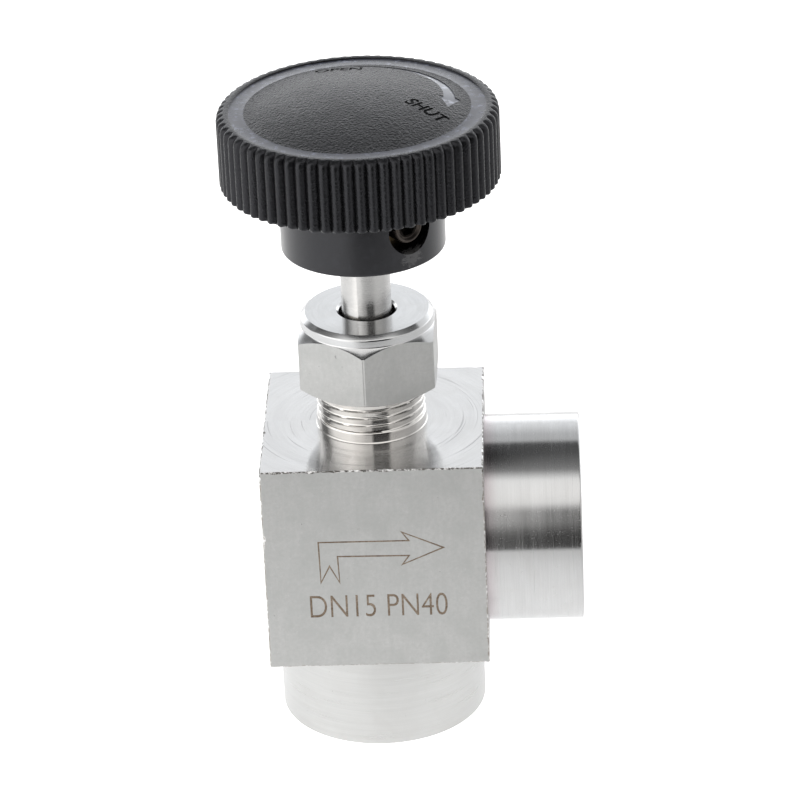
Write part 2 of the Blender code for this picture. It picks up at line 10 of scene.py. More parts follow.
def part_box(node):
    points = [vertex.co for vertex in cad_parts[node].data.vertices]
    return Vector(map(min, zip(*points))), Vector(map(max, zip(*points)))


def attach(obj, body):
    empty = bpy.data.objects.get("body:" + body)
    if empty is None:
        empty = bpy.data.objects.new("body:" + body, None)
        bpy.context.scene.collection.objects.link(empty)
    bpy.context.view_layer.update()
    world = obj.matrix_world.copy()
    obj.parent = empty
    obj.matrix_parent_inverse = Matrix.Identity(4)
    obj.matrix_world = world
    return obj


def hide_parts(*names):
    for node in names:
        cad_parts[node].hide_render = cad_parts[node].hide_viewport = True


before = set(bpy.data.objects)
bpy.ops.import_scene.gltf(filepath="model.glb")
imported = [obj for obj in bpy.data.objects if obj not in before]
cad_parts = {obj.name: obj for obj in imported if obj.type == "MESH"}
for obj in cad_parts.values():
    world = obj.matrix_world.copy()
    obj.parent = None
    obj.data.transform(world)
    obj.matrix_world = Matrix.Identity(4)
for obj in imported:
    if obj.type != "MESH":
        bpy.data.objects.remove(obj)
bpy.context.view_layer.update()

MM = 0.001

# ---- Sizes of the valve, in millimetres -------------------------------------
BLOCK_HALF_WIDTH, BLOCK_HALF_DEPTH, BLOCK_SHIFT = 14.0, 14.25, 0.2
BLOCK_BOTTOM, BLOCK_TOP = 12.4, 40.4
BLOCK_EDGE = 0.12
BOSS_RADIUS, OUTLET_AXIS, OUTLET_FACE = 13.25, 25.8, 26.4
SOCKET_CREST, SOCKET_THREAD_DEPTH, SOCKET_PITCH, SOCKET_DEPTH = 9.32, 1.16, 1.814, 13.5
PASSAGE_RADIUS, ORIFICE_RADIUS, CHAMBER_RADIUS = 4.0, 2.5, 4.6
CHAMBER_FLOOR, CHAMBER_ROOF, ORIFICE_LENGTH = 20.8, 30.8, 3.5
THREAD_BORE, PACKING_BORE, PACKING_FLOOR = 4.0, 5.1, 42.4
NECK_RADIUS, NECK_TOP, NECK_BAND_TOP, NECK_PITCH, NECK_THREAD_DEPTH = 6.9, 50.6, 41.8, 1.0, 0.20
NUT_BOTTOM, NUT_TOP, NUT_ROOF, NUT_HALF_FLATS = 46.3, 56.0, 54.0, 8.5
NUT_COLLAR_RADIUS, NUT_HOLE, NUT_TURN = 8.45, 3.6, math.radians(-1.8)
STEM_RADIUS = 3.15
KNOB_RADIUS, RIM_BOTTOM, RIM_TOP, CROWN_TOP = 17.5, 74.2, 83.5, 85.2
GROOVE_OUTER, GROOVE_INNER, GROOVE_FLOOR = 15.9, 14.05, 83.25
HUB_RADIUS, HUB_BOTTOM, POCKET_OUTER, POCKET_TOP = 10.3, 65.1, 15.7, 79.7
FLUTES, FLUTE_DEPTH = 72, 0.52
RIBS, RIB_SIZE, RIB_MIDDLE = 8, (7.2, 1.1, 6.2), (13.0, 0.0, POCKET_TOP - 2.1)
SCREW_AXIS, SCREW_TURN, SCREW_WELL, SCREW_TIP, SCREW_END = 70.4, math.radians(-52), 3.1, 2.9, 9.9
INSERT_RADIUS = 6.0

stem_low, stem_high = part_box("stem")
AXIS = Vector(((stem_low.x + stem_high.x) / 2, (stem_low.y + stem_high.y) / 2, 0.0))


# ---- Node helpers -----------------------------------------------------------
def add(tree, kind, inputs=(), **settings):
    """A node with its settings, and with its inputs set or joined to other nodes' sockets."""
    made = tree.nodes.new(kind)
    for key, value in settings.items():
        setattr(made, key, value)
    for key, value in dict(inputs).items():
        if isinstance(value, bpy.types.NodeSocket):
            tree.links.new(value, made.inputs[key])
        else:
            made.inputs[key].default_value = value
    return made


def maths(tree, operation, *values):
    return add(tree, "ShaderNodeMath", enumerate(values), operation=operation).outputs[0]


def times(tree, *values):
    """Product of two or more sockets or numbers."""
    result = values[0]
    for value in values[1:]:
        result = maths(tree, "MULTIPLY", result, value)
    return result


def plus(tree, first, second):
    return maths(tree, "ADD", first, second)


def minus(tree, first, second):
    return maths(tree, "SUBTRACT", first, second)


def split(tree, vector):
    return add(tree, "ShaderNodeSeparateXYZ", {0: vector}).outputs


def join(tree, x, y, z):
    return add(tree, "ShaderNodeCombineXYZ", {0: x, 1: y, 2: z}).outputs[0]


def ramp(tree, value, low, high, start=0.0, end=1.0):
    """Straight ramp from start to end as the value goes from low to high, held at both ends."""
    inputs = {0: value, 1: low, 2: high, 3: start, 4: end}
    return add(tree, "ShaderNodeMapRange", inputs).outputs[0]


def noise_at(tree, vector, scale, detail=2.0, roughness=0.5, distortion=0.0):
    inputs = {"Vector": vector, "Scale": scale, "Detail": detail, "Roughness": roughness}
    inputs["Distortion"] = distortion
    return add(tree, "ShaderNodeTexNoise", inputs).outputs["Fac"]


def stretch(tree, vector, scale):
    return add(tree, "ShaderNodeMapping", {"Vector": vector, "Scale": scale}).outputs[0]


def colour_mix(tree, share, first, second):
    inputs = {0: share, 6: first, 7: second}
    return add(tree, "ShaderNodeMix", inputs, data_type="RGBA").outputs[2]


def grey(value, tint=(1.0, 1.0, 1.0)):
    return (value * tint[0], value * tint[1], value * tint[2], 1.0)


def shader_group(name, inputs, outputs):
    group = bpy.data.node_groups.new(name, "ShaderNodeTree")
    for key, kind, value in inputs:
        socket = group.interface.new_socket(key, in_out="INPUT", socket_type=kind)
        if value is not None:
            socket.default_value = value
    for key, kind in outputs:
        group.interface.new_socket(key, in_out="OUTPUT", socket_type=kind)
    return group, group.nodes.new("NodeGroupInput").outputs, group.nodes.new("NodeGroupOutput").inputs


def use_group(tree, group, inputs):
    return add(tree, "ShaderNodeGroup", inputs, node_tree=group).outputs


# ---- Shared surface effects -------------------------------------------------
FLOAT, VECTOR = "NodeSocketFloat", "NodeSocketVector"


def make_turning_marks():
    """Fine lines left by a lathe tool round the Z axis, with longer bands of tone."""
    group, given, result = shader_group(
        "turning_marks",
        [("Vector", VECTOR, None), ("Lines per mm", FLOAT, 6.0), ("Breaks", FLOAT, 2.0)],
        [("Height", FLOAT), ("Tone", FLOAT), ("Score", FLOAT)],
    )
    parts = split(group, given["Vector"])
    squares = [times(group, parts[i], parts[i]) for i in (0, 1)]
    radius = maths(group, "SQRT", plus(group, *squares))
    angle = maths(group, "ARCTAN2", parts[1], parts[0])
    density = times(group, given["Lines per mm"], 1000.0)
    lines = join(group, times(group, radius, density), times(group, parts[2], density),
                 times(group, angle, given["Breaks"]))
    fine = noise_at(group, lines, 1.0, 2.0, 0.6)
    broad = noise_at(group, stretch(group, lines, (0.16, 0.16, 0.7)), 1.0, 2.0, 0.55)
    group.links.new(fine, result["Height"])
    tone = plus(group, times(group, fine, 0.45), times(group, broad, 0.55))
    group.links.new(tone, result["Tone"])
    scored = noise_at(group, stretch(group, lines, (1.5, 1.5, 0.6)), 1.0, 1.0, 0.4, 0.1)
    group.links.new(ramp(group, scored, 0.69, 0.77), result["Score"])
    return group


def make_ground_marks():
    """Straight short lines left by a grinding belt, running along Z."""
    group, given, result = shader_group(
        "ground_marks",
        [("Vector", VECTOR, None), ("Lines per mm", FLOAT, 7.0), ("Length mm", FLOAT, 4.0)],
        [("Height", FLOAT), ("Tone", FLOAT)],
    )
    density = times(group, given["Lines per mm"], 1000.0)
    along = maths(group, "DIVIDE", 1000.0, given["Length mm"])
    parts = split(group, given["Vector"])
    lines = join(group, *[times(group, parts[i], (density, density, along)[i]) for i in range(3)])
    fine = noise_at(group, lines, 1.0, 3.0, 0.6)
    broad = noise_at(group, stretch(group, lines, (0.2, 0.2, 0.6)), 1.0, 2.0, 0.5)
    group.links.new(fine, result["Height"])
    tone = plus(group, times(group, fine, 0.4), times(group, broad, 0.6))
    group.links.new(tone, result["Tone"])
    return group


def make_handling():
    """Marks of handling: cloudy stains, small dark nicks and a few hairline scratches."""
    group, given, result = shader_group(
        "handling",
        [("Vector", VECTOR, None), ("Nicks", FLOAT, 0.5)],
        [("Stain", FLOAT), ("Nick", FLOAT), ("Scratch", FLOAT)],
    )
    stain = ramp(group, noise_at(group, given["Vector"], 260.0, 4.0, 0.6, 0.6), 0.42, 0.7)
    spots = noise_at(group, given["Vector"], 1500.0, 2.0, 0.5)
    limit = ramp(group, given["Nicks"], 0.0, 1.0, 0.86, 0.66)
    nick = ramp(group, minus(group, spots, limit), 0.0, 0.03)
    scratches = None
    for turn in ((0.3, 0.9, 0.4), (0.2, -0.6, 1.1), (1.2, 0.3, -0.5)):
        placing = {"Vector": given["Vector"], "Rotation": turn}
        turned_vector = add(group, "ShaderNodeMapping", placing).outputs[0]
        needles = stretch(group, turned_vector, (260.0, 8500.0, 8500.0))
        line = ramp(group, noise_at(group, needles, 1.0, 0.0, 0.4), 0.80, 0.87)
        scratches = line if scratches is None else maths(group, "MAXIMUM", scratches, line)
    group.links.new(stain, result["Stain"])
    group.links.new(nick, result["Nick"])
    group.links.new(scratches, result["Scratch"])
    return group


def make_spark_grain():
    """Pebbled skin of a spark-eroded mould."""
    group, given, result = shader_group(
        "spark_grain",
        [("Vector", VECTOR, None), ("Grain mm", FLOAT, 0.3)],
        [("Height", FLOAT), ("Peak", FLOAT)],
    )
    scale = maths(group, "DIVIDE", 1000.0, given["Grain mm"])
    pebbles = add(
        group, "ShaderNodeTexVoronoi", {"Vector": given["Vector"], "Scale": scale},
        feature="SMOOTH_F1",
    )
    pebbles.inputs["Smoothness"].default_value = 0.6
    rough = noise_at(group, given["Vector"], times(group, scale, 0.8), 3.0, 0.65)
    height = minus(group, rough, times(group, pebbles.outputs[0], 0.55))
    group.links.new(height, result["Height"])
    group.links.new(ramp(group, height, 0.28, 0.5), result["Peak"])
    return group


TURNING_MARKS = make_turning_marks()
GROUND_MARKS = make_ground_marks()
HANDLING = make_handling()
SPARK_GRAIN = make_spark_grain()


# ---- Materials --------------------------------------------------------------
def start_material(name, metallic, **constants):
    """A Principled material, with the piece's coordinates measured from the stem axis."""
    material = bpy.data.materials.new(name)
    material.use_nodes = True
    tree = material.node_tree
    shader = tree.nodes["Principled BSDF"]
    shader.inputs["Metallic"].default_value = metallic
    for key, value in constants.items():
        shader.inputs[key.replace("_", " ").title().replace("Ior", "IOR")].default_value = value
    place = add(tree, "ShaderNodeTexCoord").outputs["Object"]
    from_axis = add(tree, "ShaderNodeMapping", {"Vector": place, "Location": -AXIS}).outputs[0]
    return material, tree, shader, from_axis


def layered(tree, colour, *layers):
    """The colour with each layer over it: a mask, how much of it shows and the layer's own colour."""
    for mask, share, over in layers:
        colour = colour_mix(tree, times(tree, mask, share), colour, over)
    return colour


def finish_shader(tree, shader, colour, roughness, height, distance):
    """Join the colour, the roughness and a bump of this height pattern to the shader."""
    bump = add(tree, "ShaderNodeBump", {"Height": height, "Distance": distance, "Strength": 1.0})
    for key, value in (("Base Color", colour), ("Roughness", roughness), ("Normal", bump.outputs[0])):
        tree.links.new(value, shader.inputs[key])


def set_lathe_grain(tree, shader, vector, axis):
    """Stretch the highlight across the tool lines, which run round the axis."""
    around = add(tree, "ShaderNodeVectorMath", {0: axis, 1: vector}, operation="CROSS_PRODUCT")
    placed = add(
        tree, "ShaderNodeVectorTransform", {0: around.outputs[0]},
        vector_type="VECTOR", convert_from="OBJECT", convert_to="WORLD",
    )
    normal = add(tree, "ShaderNodeNewGeometry").outputs["Normal"]
    across = add(
        tree, "ShaderNodeVectorMath", {0: placed.outputs[0], 1: normal}, operation="CROSS_PRODUCT"
    )
    tree.links.new(across.outputs[0], shader.inputs["Tangent"])


def turned_steel(name, tone, roughness, lines=6.0, bump=0.0012, along_outlet=False, anisotropy=0.7,
                 warmth=(1.0, 0.995, 0.985), breaks=1.6, scores=0.3, painted_block_reflection=None):
    material, tree, shader, vector = start_material(name, 1.0, anisotropic=anisotropy)
    axis, centre, upright = (0.0, 0.0, 1.0), vector, vector
    if along_outlet:
        axis = (1.0, 0.0, 0.0)
        shift = {"Vector": vector, "Location": (0.0, 0.0, -OUTLET_AXIS * MM)}
        centre = add(tree, "ShaderNodeMapping", shift).outputs[0]
        turn = {"Vector": centre, "Rotation": (0.0, -math.pi / 2, 0.0)}
        upright = add(tree, "ShaderNodeMapping", turn).outputs[0]
    marks = use_group(tree, TURNING_MARKS, {"Vector": upright, "Lines per mm": lines, "Breaks": breaks})
    wear = use_group(tree, HANDLING, {"Vector": vector, "Nicks": 0.45})
    steel = colour_mix(
        tree, ramp(tree, marks["Tone"], 0.3, 0.7), grey(tone * 0.92, warmth), grey(tone * 1.05, warmth)
    )
    steel = layered(
        tree, steel, (wear["Stain"], 0.25, grey(tone * 0.86, (1.0, 0.985, 0.96))),
        (wear["Nick"], 0.6, grey(tone * 0.35)), (marks["Score"], scores, grey(tone * 0.55, warmth)),
    )
    # Painted reflection: a pinkish band next to the block, fading away from it, stands in for the block
    # reflected in the boss.
    if painted_block_reflection:
        depth = split(tree, vector)[0]
        near_block = ramp(tree, depth, painted_block_reflection[0] * MM, painted_block_reflection[1] * MM, 0.55, 0.0)
        steel = colour_mix(tree, near_block, steel, grey(tone, (0.80, 0.66, 0.70)))
    spread = ramp(tree, marks["Tone"], 0.25, 0.75, roughness * 0.8, roughness * 1.25)
    marked = maths(tree, "MAXIMUM", wear["Scratch"], marks["Score"])
    worn = plus(tree, spread, times(tree, marked, 0.14))
    finish_shader(tree, shader, steel, worn, marks["Height"], bump * MM)
    set_lathe_grain(tree, shader, centre, axis)
    return material


def ground_steel(name, tone, roughness, lines=6.0, length=5.0, warmth=(0.995, 1.0, 0.985),
                 bump=0.003, nicks=0.5):
    material, tree, shader, vector = start_material(name, 1.0)
    marks = use_group(tree, GROUND_MARKS, {"Vector": vector, "Lines per mm": lines, "Length mm": length})
    wear = use_group(tree, HANDLING, {"Vector": vector, "Nicks": nicks})
    steel = colour_mix(
        tree, ramp(tree, marks["Tone"], 0.32, 0.68), grey(tone * 0.955, warmth), grey(tone * 1.04, warmth)
    )
    mottled = noise_at(tree, vector, 1900.0, 4.0, 0.75)
    steel = colour_mix(tree, ramp(tree, mottled, 0.36, 0.52, 0.42, 0.0), steel, grey(tone * 0.86, warmth))
    steel = colour_mix(tree, ramp(tree, mottled, 0.55, 0.70, 0.0, 0.45), steel, grey(tone * 1.16, warmth))
    steel = layered(
        tree, steel, (wear["Stain"], 0.6, grey(tone * 0.90, (0.985, 1.0, 0.98))),
        (wear["Nick"], 0.55, grey(tone * 0.4)), (wear["Scratch"], 0.35, grey(min(1.0, tone * 1.3))),
    )
    spread = ramp(tree, marks["Tone"], 0.25, 0.75, roughness * 0.88, roughness * 1.15)
    worn = plus(tree, spread, times(tree, wear["Stain"], 0.05))
    finish_shader(tree, shader, steel, worn, marks["Height"], bump * MM)
    return material


def moulded_black(name, tone, roughness, grain_mm, grain_height, coat=0.0, tint=(0.92, 0.95, 1.06),
                  specular=0.5, scuffed=None, highlight=(0.90, 0.91, 1.0)):
    """Black nylon from a mould. A grain height of zero or near it leaves a smooth skin."""
    material, tree, shader, vector = start_material(
        name, 0.0, coat_weight=coat, coat_roughness=0.2, specular_ior_level=specular
    )
    shader.inputs["Specular Tint"].default_value = highlight + (1.0,)
    grain = use_group(tree, SPARK_GRAIN, {"Vector": vector, "Grain mm": grain_mm})
    wear = use_group(tree, HANDLING, {"Vector": vector, "Nicks": 0.42})
    plastic = colour_mix(tree, grain["Peak"], grey(tone * 0.45, tint), grey(tone * 1.6, tint))
    plastic = layered(tree, plastic, (wear["Stain"], 0.15, grey(tone * 1.5, (1.0, 1.0, 1.02))),
                      (wear["Nick"], 0.5, grey(0.28)))
    if scuffed:
        away = add(tree, "ShaderNodeVectorMath", {0: vector, 1: scuffed}, operation="DISTANCE")
        near = ramp(tree, away.outputs["Value"], 0.8 * MM, 2.7 * MM, 0.34, -0.12)
        torn = noise_at(tree, stretch(tree, vector, (1.0, 1.0, 1.8)), 1500.0, 4.0, 0.7)
        scuff = ramp(tree, plus(tree, torn, near), 0.66, 0.76)
        plastic = layered(tree, plastic, (scuff, 0.8, grey(0.085)))
    skin = ramp(tree, grain["Peak"], 0.0, 1.0, roughness * 1.12, roughness * 0.88)
    worn = plus(tree, skin, times(tree, wear["Stain"], 0.06))
    finish_shader(tree, shader, plastic, worn, grain["Height"], grain_height * MM)
    return material


def soft_plastic(name, colour, roughness):
    """Turned PTFE: waxy, with faint tool lines."""
    material, tree, shader, vector = start_material(name, 0.0)
    marks = use_group(tree, TURNING_MARKS, {"Vector": vector, "Lines per mm": 5.0, "Breaks": 1.0})
    waxy = colour_mix(tree, marks["Tone"], tuple(c * 0.93 for c in colour[:3]) + (1.0,), colour)
    spread = ramp(tree, marks["Tone"], 0.2, 0.8, roughness * 0.9, roughness * 1.1)
    finish_shader(tree, shader, waxy, spread, marks["Height"], 0.004 * MM)
    return material


def burred_steel(name, dark, bright):
    """Raw edge with crumbs of burr, some bright and some dark."""
    material, tree, shader, vector = start_material(name, 1.0)
    crumbs = noise_at(tree, vector, 2300.0, 4.0, 0.7)
    broken = ramp(tree, crumbs, 0.46, 0.60)
    steel = colour_mix(tree, broken, grey(dark, (1.0, 0.93, 0.85)), grey(bright))
    finish_shader(tree, shader, steel, ramp(tree, crumbs, 0.3, 0.7, 0.55, 0.2), crumbs, 0.12 * MM)
    return material


def laser_brown(name):
    """Brown annealed line that a laser leaves on steel, broken where the beam skipped."""
    material, tree, shader, vector = start_material(name, 0.6)
    dots = noise_at(tree, vector, 5200.0, 2.0, 0.6)
    cloud = noise_at(tree, vector, 900.0, 2.0, 0.5)
    shade = ramp(tree, plus(tree, times(tree, dots, 0.6), times(tree, cloud, 0.4)), 0.35, 0.68)
    brown = colour_mix(tree, shade, (0.115, 0.078, 0.052, 1.0), (0.33, 0.27, 0.21, 1.0))
    finish_shader(tree, shader, brown, ramp(tree, shade, 0.0, 1.0, 0.6, 0.4), dots, 0.006 * MM)
    return material


FACED = turned_steel("faced_top", 0.655, 0.15, lines=2.6, bump=0.0012, anisotropy=0.85, breaks=1.5,
                     scores=0.8, warmth=(1.0, 1.0, 1.0))
GROUND = ground_steel("ground_sides", 0.485, 0.36)
# The outlet boss carries a painted reflection of the block near its root.
OUTLET_TURNED = turned_steel("turned_outlet_boss", 0.585, 0.20, lines=7.0, along_outlet=True,
                             anisotropy=0.85, warmth=(0.995, 1.0, 1.005), painted_block_reflection=(14.2, 15.9))
BOSS_TURNED = turned_steel("turned_inlet_boss", 0.60, 0.30, lines=9.0, bump=0.0005, anisotropy=0.6,
                           warmth=(0.995, 1.0, 0.99), scores=0.06)
CUT_THREAD = turned_steel("cut_thread", 0.68, 0.10, lines=6.0, bump=0.0004, anisotropy=0.5,
                          warmth=(1.0, 0.975, 0.94))
BORED = turned_steel("bored_inside", 0.55, 0.26, lines=4.0, anisotropy=0.4)
NUT_TURNED = turned_steel("turned_nut", 0.62, 0.15, lines=4.0, bump=0.001, anisotropy=0.7,
                          warmth=(0.99, 1.0, 1.01))
NUT_FLAT = ground_steel("drawn_flats", 0.50, 0.36, lines=9.0, length=1.2, bump=0.004, nicks=0.6)
STEM_TURNED = turned_steel("turned_stem", 0.60, 0.24, lines=8.0, anisotropy=0.6,
                           warmth=(1.0, 0.995, 0.985))
HARD_STEEL = turned_steel("hardened_steel", 0.50, 0.22, lines=8.0, anisotropy=0.4)
SPRING = ground_steel("spring_wire_drawn", 0.5, 0.3, lines=12.0, length=2.0)
OXIDE = turned_steel("black_oxide", 0.085, 0.50, lines=8.0, anisotropy=0.0, warmth=(1.05, 0.9, 0.8))
# Painted shade: a far darker copy of the black oxide, for the inside of the hex socket where shade falls.
SOCKET_PAINTED_SHADE = turned_steel("socket_oxide_painted_shade", 0.018, 0.60, anisotropy=0.0, warmth=(1.1, 0.95, 0.85))
BRASS = turned_steel("turned_brass", 0.34, 0.34, lines=6.0, anisotropy=0.5, warmth=(1.0, 0.76, 0.45))
EDGE = burred_steel("burred_top_edge", 0.12, 0.95)
SIDE_EDGE = burred_steel("broken_side_edge", 0.36, 0.78)
PTFE = soft_plastic("turned_ptfe", (0.86, 0.86, 0.83, 1.0), 0.5)
FILLED_PTFE = soft_plastic("filled_ptfe", (0.20, 0.20, 0.21, 1.0), 0.5)
GRAINED = moulded_black("grained_crown", 0.006, 0.27, 0.30, 0.21, specular=0.36)
RIM_SKIN = moulded_black("grained_rim", 0.006, 0.27, 0.25, 0.05, specular=0.42)
# Painted reflection: a lighter, bluish copy of the black plastic on the smooth ring, standing in for the
# glossy ring reflecting the bright tent.
RING_WITH_PAINTED_REFLECTION = moulded_black("ring_with_painted_reflection", 0.112, 0.24, 0.9, 0.002, coat=0.2, tint=(0.92, 1.0, 1.34))
# Painted reflection: a much lighter blue-grey copy of the black plastic on the arrow's floor, standing in for
# its smooth floor reflecting the tent.
ARROW_WITH_PAINTED_REFLECTION = moulded_black("arrow_with_painted_reflection", 0.33, 0.26, 0.9, 0.002, coat=0.2, tint=(0.94, 1.0, 1.2))
# Painted shade: a darker, duller copy of the black plastic on the floors of the sunk words.
WORDS_WITH_PAINTED_SHADE = moulded_black("words_with_painted_shade", 0.003, 0.5, 0.5, 0.01, specular=0.12)
HUB_SKIN = moulded_black("smooth_hub", 0.006, 0.18, 0.7, 0.003, coat=0.35, tint=(0.9, 0.95, 1.15),
                         specular=0.45, scuffed=(6.3 * MM, -8.1 * MM, 66.9 * MM))
LASER = laser_brown("laser_line")


# ---- Turned surface, made with Geometry Nodes --------------------------------
def make_turned_surface():
    """Geometry Nodes tree that turns a profile about Z and cuts flutes or a thread into it."""
    tree = bpy.data.node_groups.new("turned_surface", "GeometryNodeTree")
    tree.is_modifier = True
    sockets = [
        ("Profile", "NodeSocketGeometry"), ("Columns", "NodeSocketInt"),
        ("Flutes", "NodeSocketInt"), ("Flute Depth", FLOAT),
        ("Thread Pitch", FLOAT), ("Thread Depth", FLOAT), ("Thread Form", FLOAT), ("Ragged", FLOAT),
        ("Material", "NodeSocketMaterial"),
    ]
    for key, kind in sockets:
        tree.interface.new_socket(key, in_out="INPUT", socket_type=kind)
    tree.interface.new_socket("Surface", in_out="OUTPUT", socket_type="NodeSocketGeometry")
    given = tree.nodes.new("NodeGroupInput").outputs
    rows = add(
        tree, "GeometryNodeAttributeDomainSize", {"Geometry": given["Profile"]}
    ).outputs["Point Count"]
    grid = add(
        tree, "GeometryNodeMeshGrid",
        {"Size X": 1.0, "Size Y": 1.0, "Vertices Y": rows,
         "Vertices X": plus(tree, given["Columns"], 1.0)},
    ).outputs["Mesh"]
    position = tree.nodes.new("GeometryNodeInputPosition").outputs[0]
    spot = split(tree, position)
    share = plus(tree, spot[0], 0.5)
    column = maths(tree, "ROUND", times(tree, share, given["Columns"]))
    turn = maths(tree, "DIVIDE", column, given["Columns"])
    whole = minus(tree, turn, maths(tree, "FLOOR", turn))
    angle = times(tree, whole, math.tau)
    last_row = minus(tree, rows, 1.0)
    row = maths(tree, "ROUND", times(tree, plus(tree, spot[1], 0.5), last_row))

    def from_profile(kind, value):
        found = add(tree, "GeometryNodeSampleIndex", data_type=kind, domain="POINT")
        tree.links.new(given["Profile"], found.inputs["Geometry"])
        tree.links.new(value, found.inputs["Value"])
        tree.links.new(row, found.inputs["Index"])
        return found.outputs[0]

    def profile_share(name):
        named = add(tree, "GeometryNodeInputNamedAttribute", {"Name": name}, data_type="FLOAT")
        return from_profile("FLOAT", named.outputs[0])

    outline = split(tree, from_profile("FLOAT_VECTOR", position))

    ridge = maths(tree, "ABSOLUTE", maths(tree, "SINE", times(tree, whole, given["Flutes"], math.pi)))
    groove = minus(tree, 1.0, maths(tree, "POWER", ridge, 0.9))
    flute = times(tree, groove, given["Flute Depth"], profile_share("flute"))

    along = minus(tree, maths(tree, "DIVIDE", outline[2], given["Thread Pitch"]), whole)
    phase = minus(tree, along, maths(tree, "FLOOR", along))
    wave = maths(tree, "ABSOLUTE", minus(tree, times(tree, phase, 2.0), 1.0))
    valley = minus(tree, 1.0, maths(tree, "POWER", wave, given["Thread Form"]))
    thread = times(tree, valley, given["Thread Depth"], profile_share("thread"))

    along_x, along_y = (maths(tree, name, angle) for name in ("COSINE", "SINE"))
    compass = join(tree, times(tree, along_x, 9.0), times(tree, along_y, 9.0), 3.7)
    tear = minus(tree, noise_at(tree, compass, 2.2, 4.0, 0.75), 0.5)
    ragged = times(tree, tear, given["Ragged"], profile_share("ragged"))

    radius = plus(tree, minus(tree, outline[0], flute),
                   plus(tree, thread, times(tree, ragged, 0.35)))
    place = join(tree, times(tree, radius, along_x), times(tree, radius, along_y),
                 plus(tree, outline[2], ragged))
    shaped = add(tree, "GeometryNodeSetPosition", {"Geometry": grid, "Position": place}).outputs[0]
    sewn = add(
        tree, "GeometryNodeMergeByDistance", {"Geometry": shaped, "Distance": 0.0000015}
    ).outputs[0]
    whole_shape = add(tree, "GeometryNodeRealizeInstances", {"Geometry": sewn}).outputs[0]
    finished = add(
        tree, "GeometryNodeSetMaterial", {"Geometry": whole_shape, "Material": given["Material"]}
    ).outputs[0]
    tree.links.new(finished, tree.nodes.new("NodeGroupOutput").inputs[0])
    return tree


TURNED_SURFACE = make_turned_surface()


def plain_mesh(obj):
    """Apply what the modifiers do, and leave the object with a plain mesh."""
    depsgraph = bpy.context.evaluated_depsgraph_get()
    result = bpy.data.meshes.new_from_object(obj.evaluated_get(depsgraph), depsgraph=depsgraph)
    obj.modifiers.clear()
    obj.data = result
    return obj


def new_object(name, mesh):
    obj = bpy.data.objects.new(name, mesh)
    bpy.context.scene.collection.objects.link(obj)
    return obj


def face_out(obj):
    """Turn every face outwards, and close doubled points."""
    shape = bmesh.new()
    shape.from_mesh(obj.data)
    bmesh.ops.remove_doubles(shape, verts=shape.verts, dist=0.000001)
    bmesh.ops.dissolve_degenerate(shape, edges=shape.edges, dist=0.0000005)
    bmesh.ops.recalc_face_normals(shape, faces=shape.faces)
    shape.to_mesh(obj.data)
    shape.free()
    return obj


def eased(outline):
    """Round each corner that gives a radius: points are (radius, height) or (…, corner)."""
    result = []
    for index, point in enumerate(outline):
        corner = point[2] if len(point) > 2 else 0.0
        here = Vector(point[:2])
        if not corner or index in (0, len(outline) - 1):
            result.append(tuple(here))
            continue
        before = (Vector(outline[index - 1][:2]) - here)
        after = (Vector(outline[index + 1][:2]) - here)
        reach = min(corner, before.length * 0.49, after.length * 0.49)
        start, end = here + before.normalized() * reach, here + after.normalized() * reach
        steps = 4
        for step in range(steps + 1):
            t = step / steps
            result.append(tuple((1 - t) ** 2 * start + 2 * t * (1 - t) * here + t ** 2 * end))
    return result


def with_rows(outline, spacing, low, high):
    """Add points closer than the spacing on upright stretches between two heights."""
    result = [outline[0]]
    for first, second in zip(outline, outline[1:]):
        rise = second[1] - first[1]
        inside = min(first[1], second[1]) < high and max(first[1], second[1]) > low
        if inside and abs(rise) > spacing and abs(second[0] - first[0]) < 0.2 * abs(rise):
            count = math.ceil(abs(rise) / spacing)
            for step in range(1, count):
                t = step / count
                result.append((first[0] + t * (second[0] - first[0]), first[1] + t * rise))
        result.append(second)
    return result


def none_of_it(radius, height):
    return 0.0


def turned(name, outline, material, columns=128, flute=none_of_it, flutes=1, flute_depth=0.0,
           thread=none_of_it, pitch=1.0, thread_depth=0.0, form=1.2, torn=none_of_it, ragged=0.0):
    """A closed turned piece. The outline runs down its outer side, in millimetres."""
    mesh = bpy.data.meshes.new(name)
    points = [(radius * MM, 0.0, height * MM) for radius, height in outline]
    mesh.from_pydata(points, [(i, i + 1) for i in range(len(points) - 1)], [])
    for key, rule in (("flute", flute), ("thread", thread), ("ragged", torn)):
        values = mesh.attributes.new(key, "FLOAT", "POINT")
        values.data.foreach_set("value", [rule(radius, height) for radius, height in outline])
    obj = new_object(name, mesh)
    modifier = obj.modifiers.new("turned surface", "NODES")
    modifier.node_group = TURNED_SURFACE
    sizes = {
        "Columns": columns, "Flutes": flutes, "Flute Depth": flute_depth * MM,
        "Thread Pitch": pitch * MM, "Thread Depth": thread_depth * MM, "Thread Form": form,
        "Ragged": ragged * MM,
        "Material": material,
    }
    for item in TURNED_SURFACE.interface.items_tree:
        if item.in_out == "INPUT" and item.name in sizes:
            modifier[item.identifier] = sizes[item.name]
    return face_out(plain_mesh(obj))


def move_mesh(obj, matrix):
    obj.data.transform(matrix)
    return obj


def combine(target, tool, operation, solver="MANIFOLD"):
    modifier = target.modifiers.new("combine", "BOOLEAN")
    modifier.operation = operation
    modifier.object = tool
    modifier.solver = solver
    plain_mesh(target)
    bpy.data.objects.remove(tool)
    return target


def sides_smooth(obj, degrees=34):
    obj.data.shade_smooth()
    obj.data.set_sharp_from_angle(angle=math.radians(degrees))
    return obj


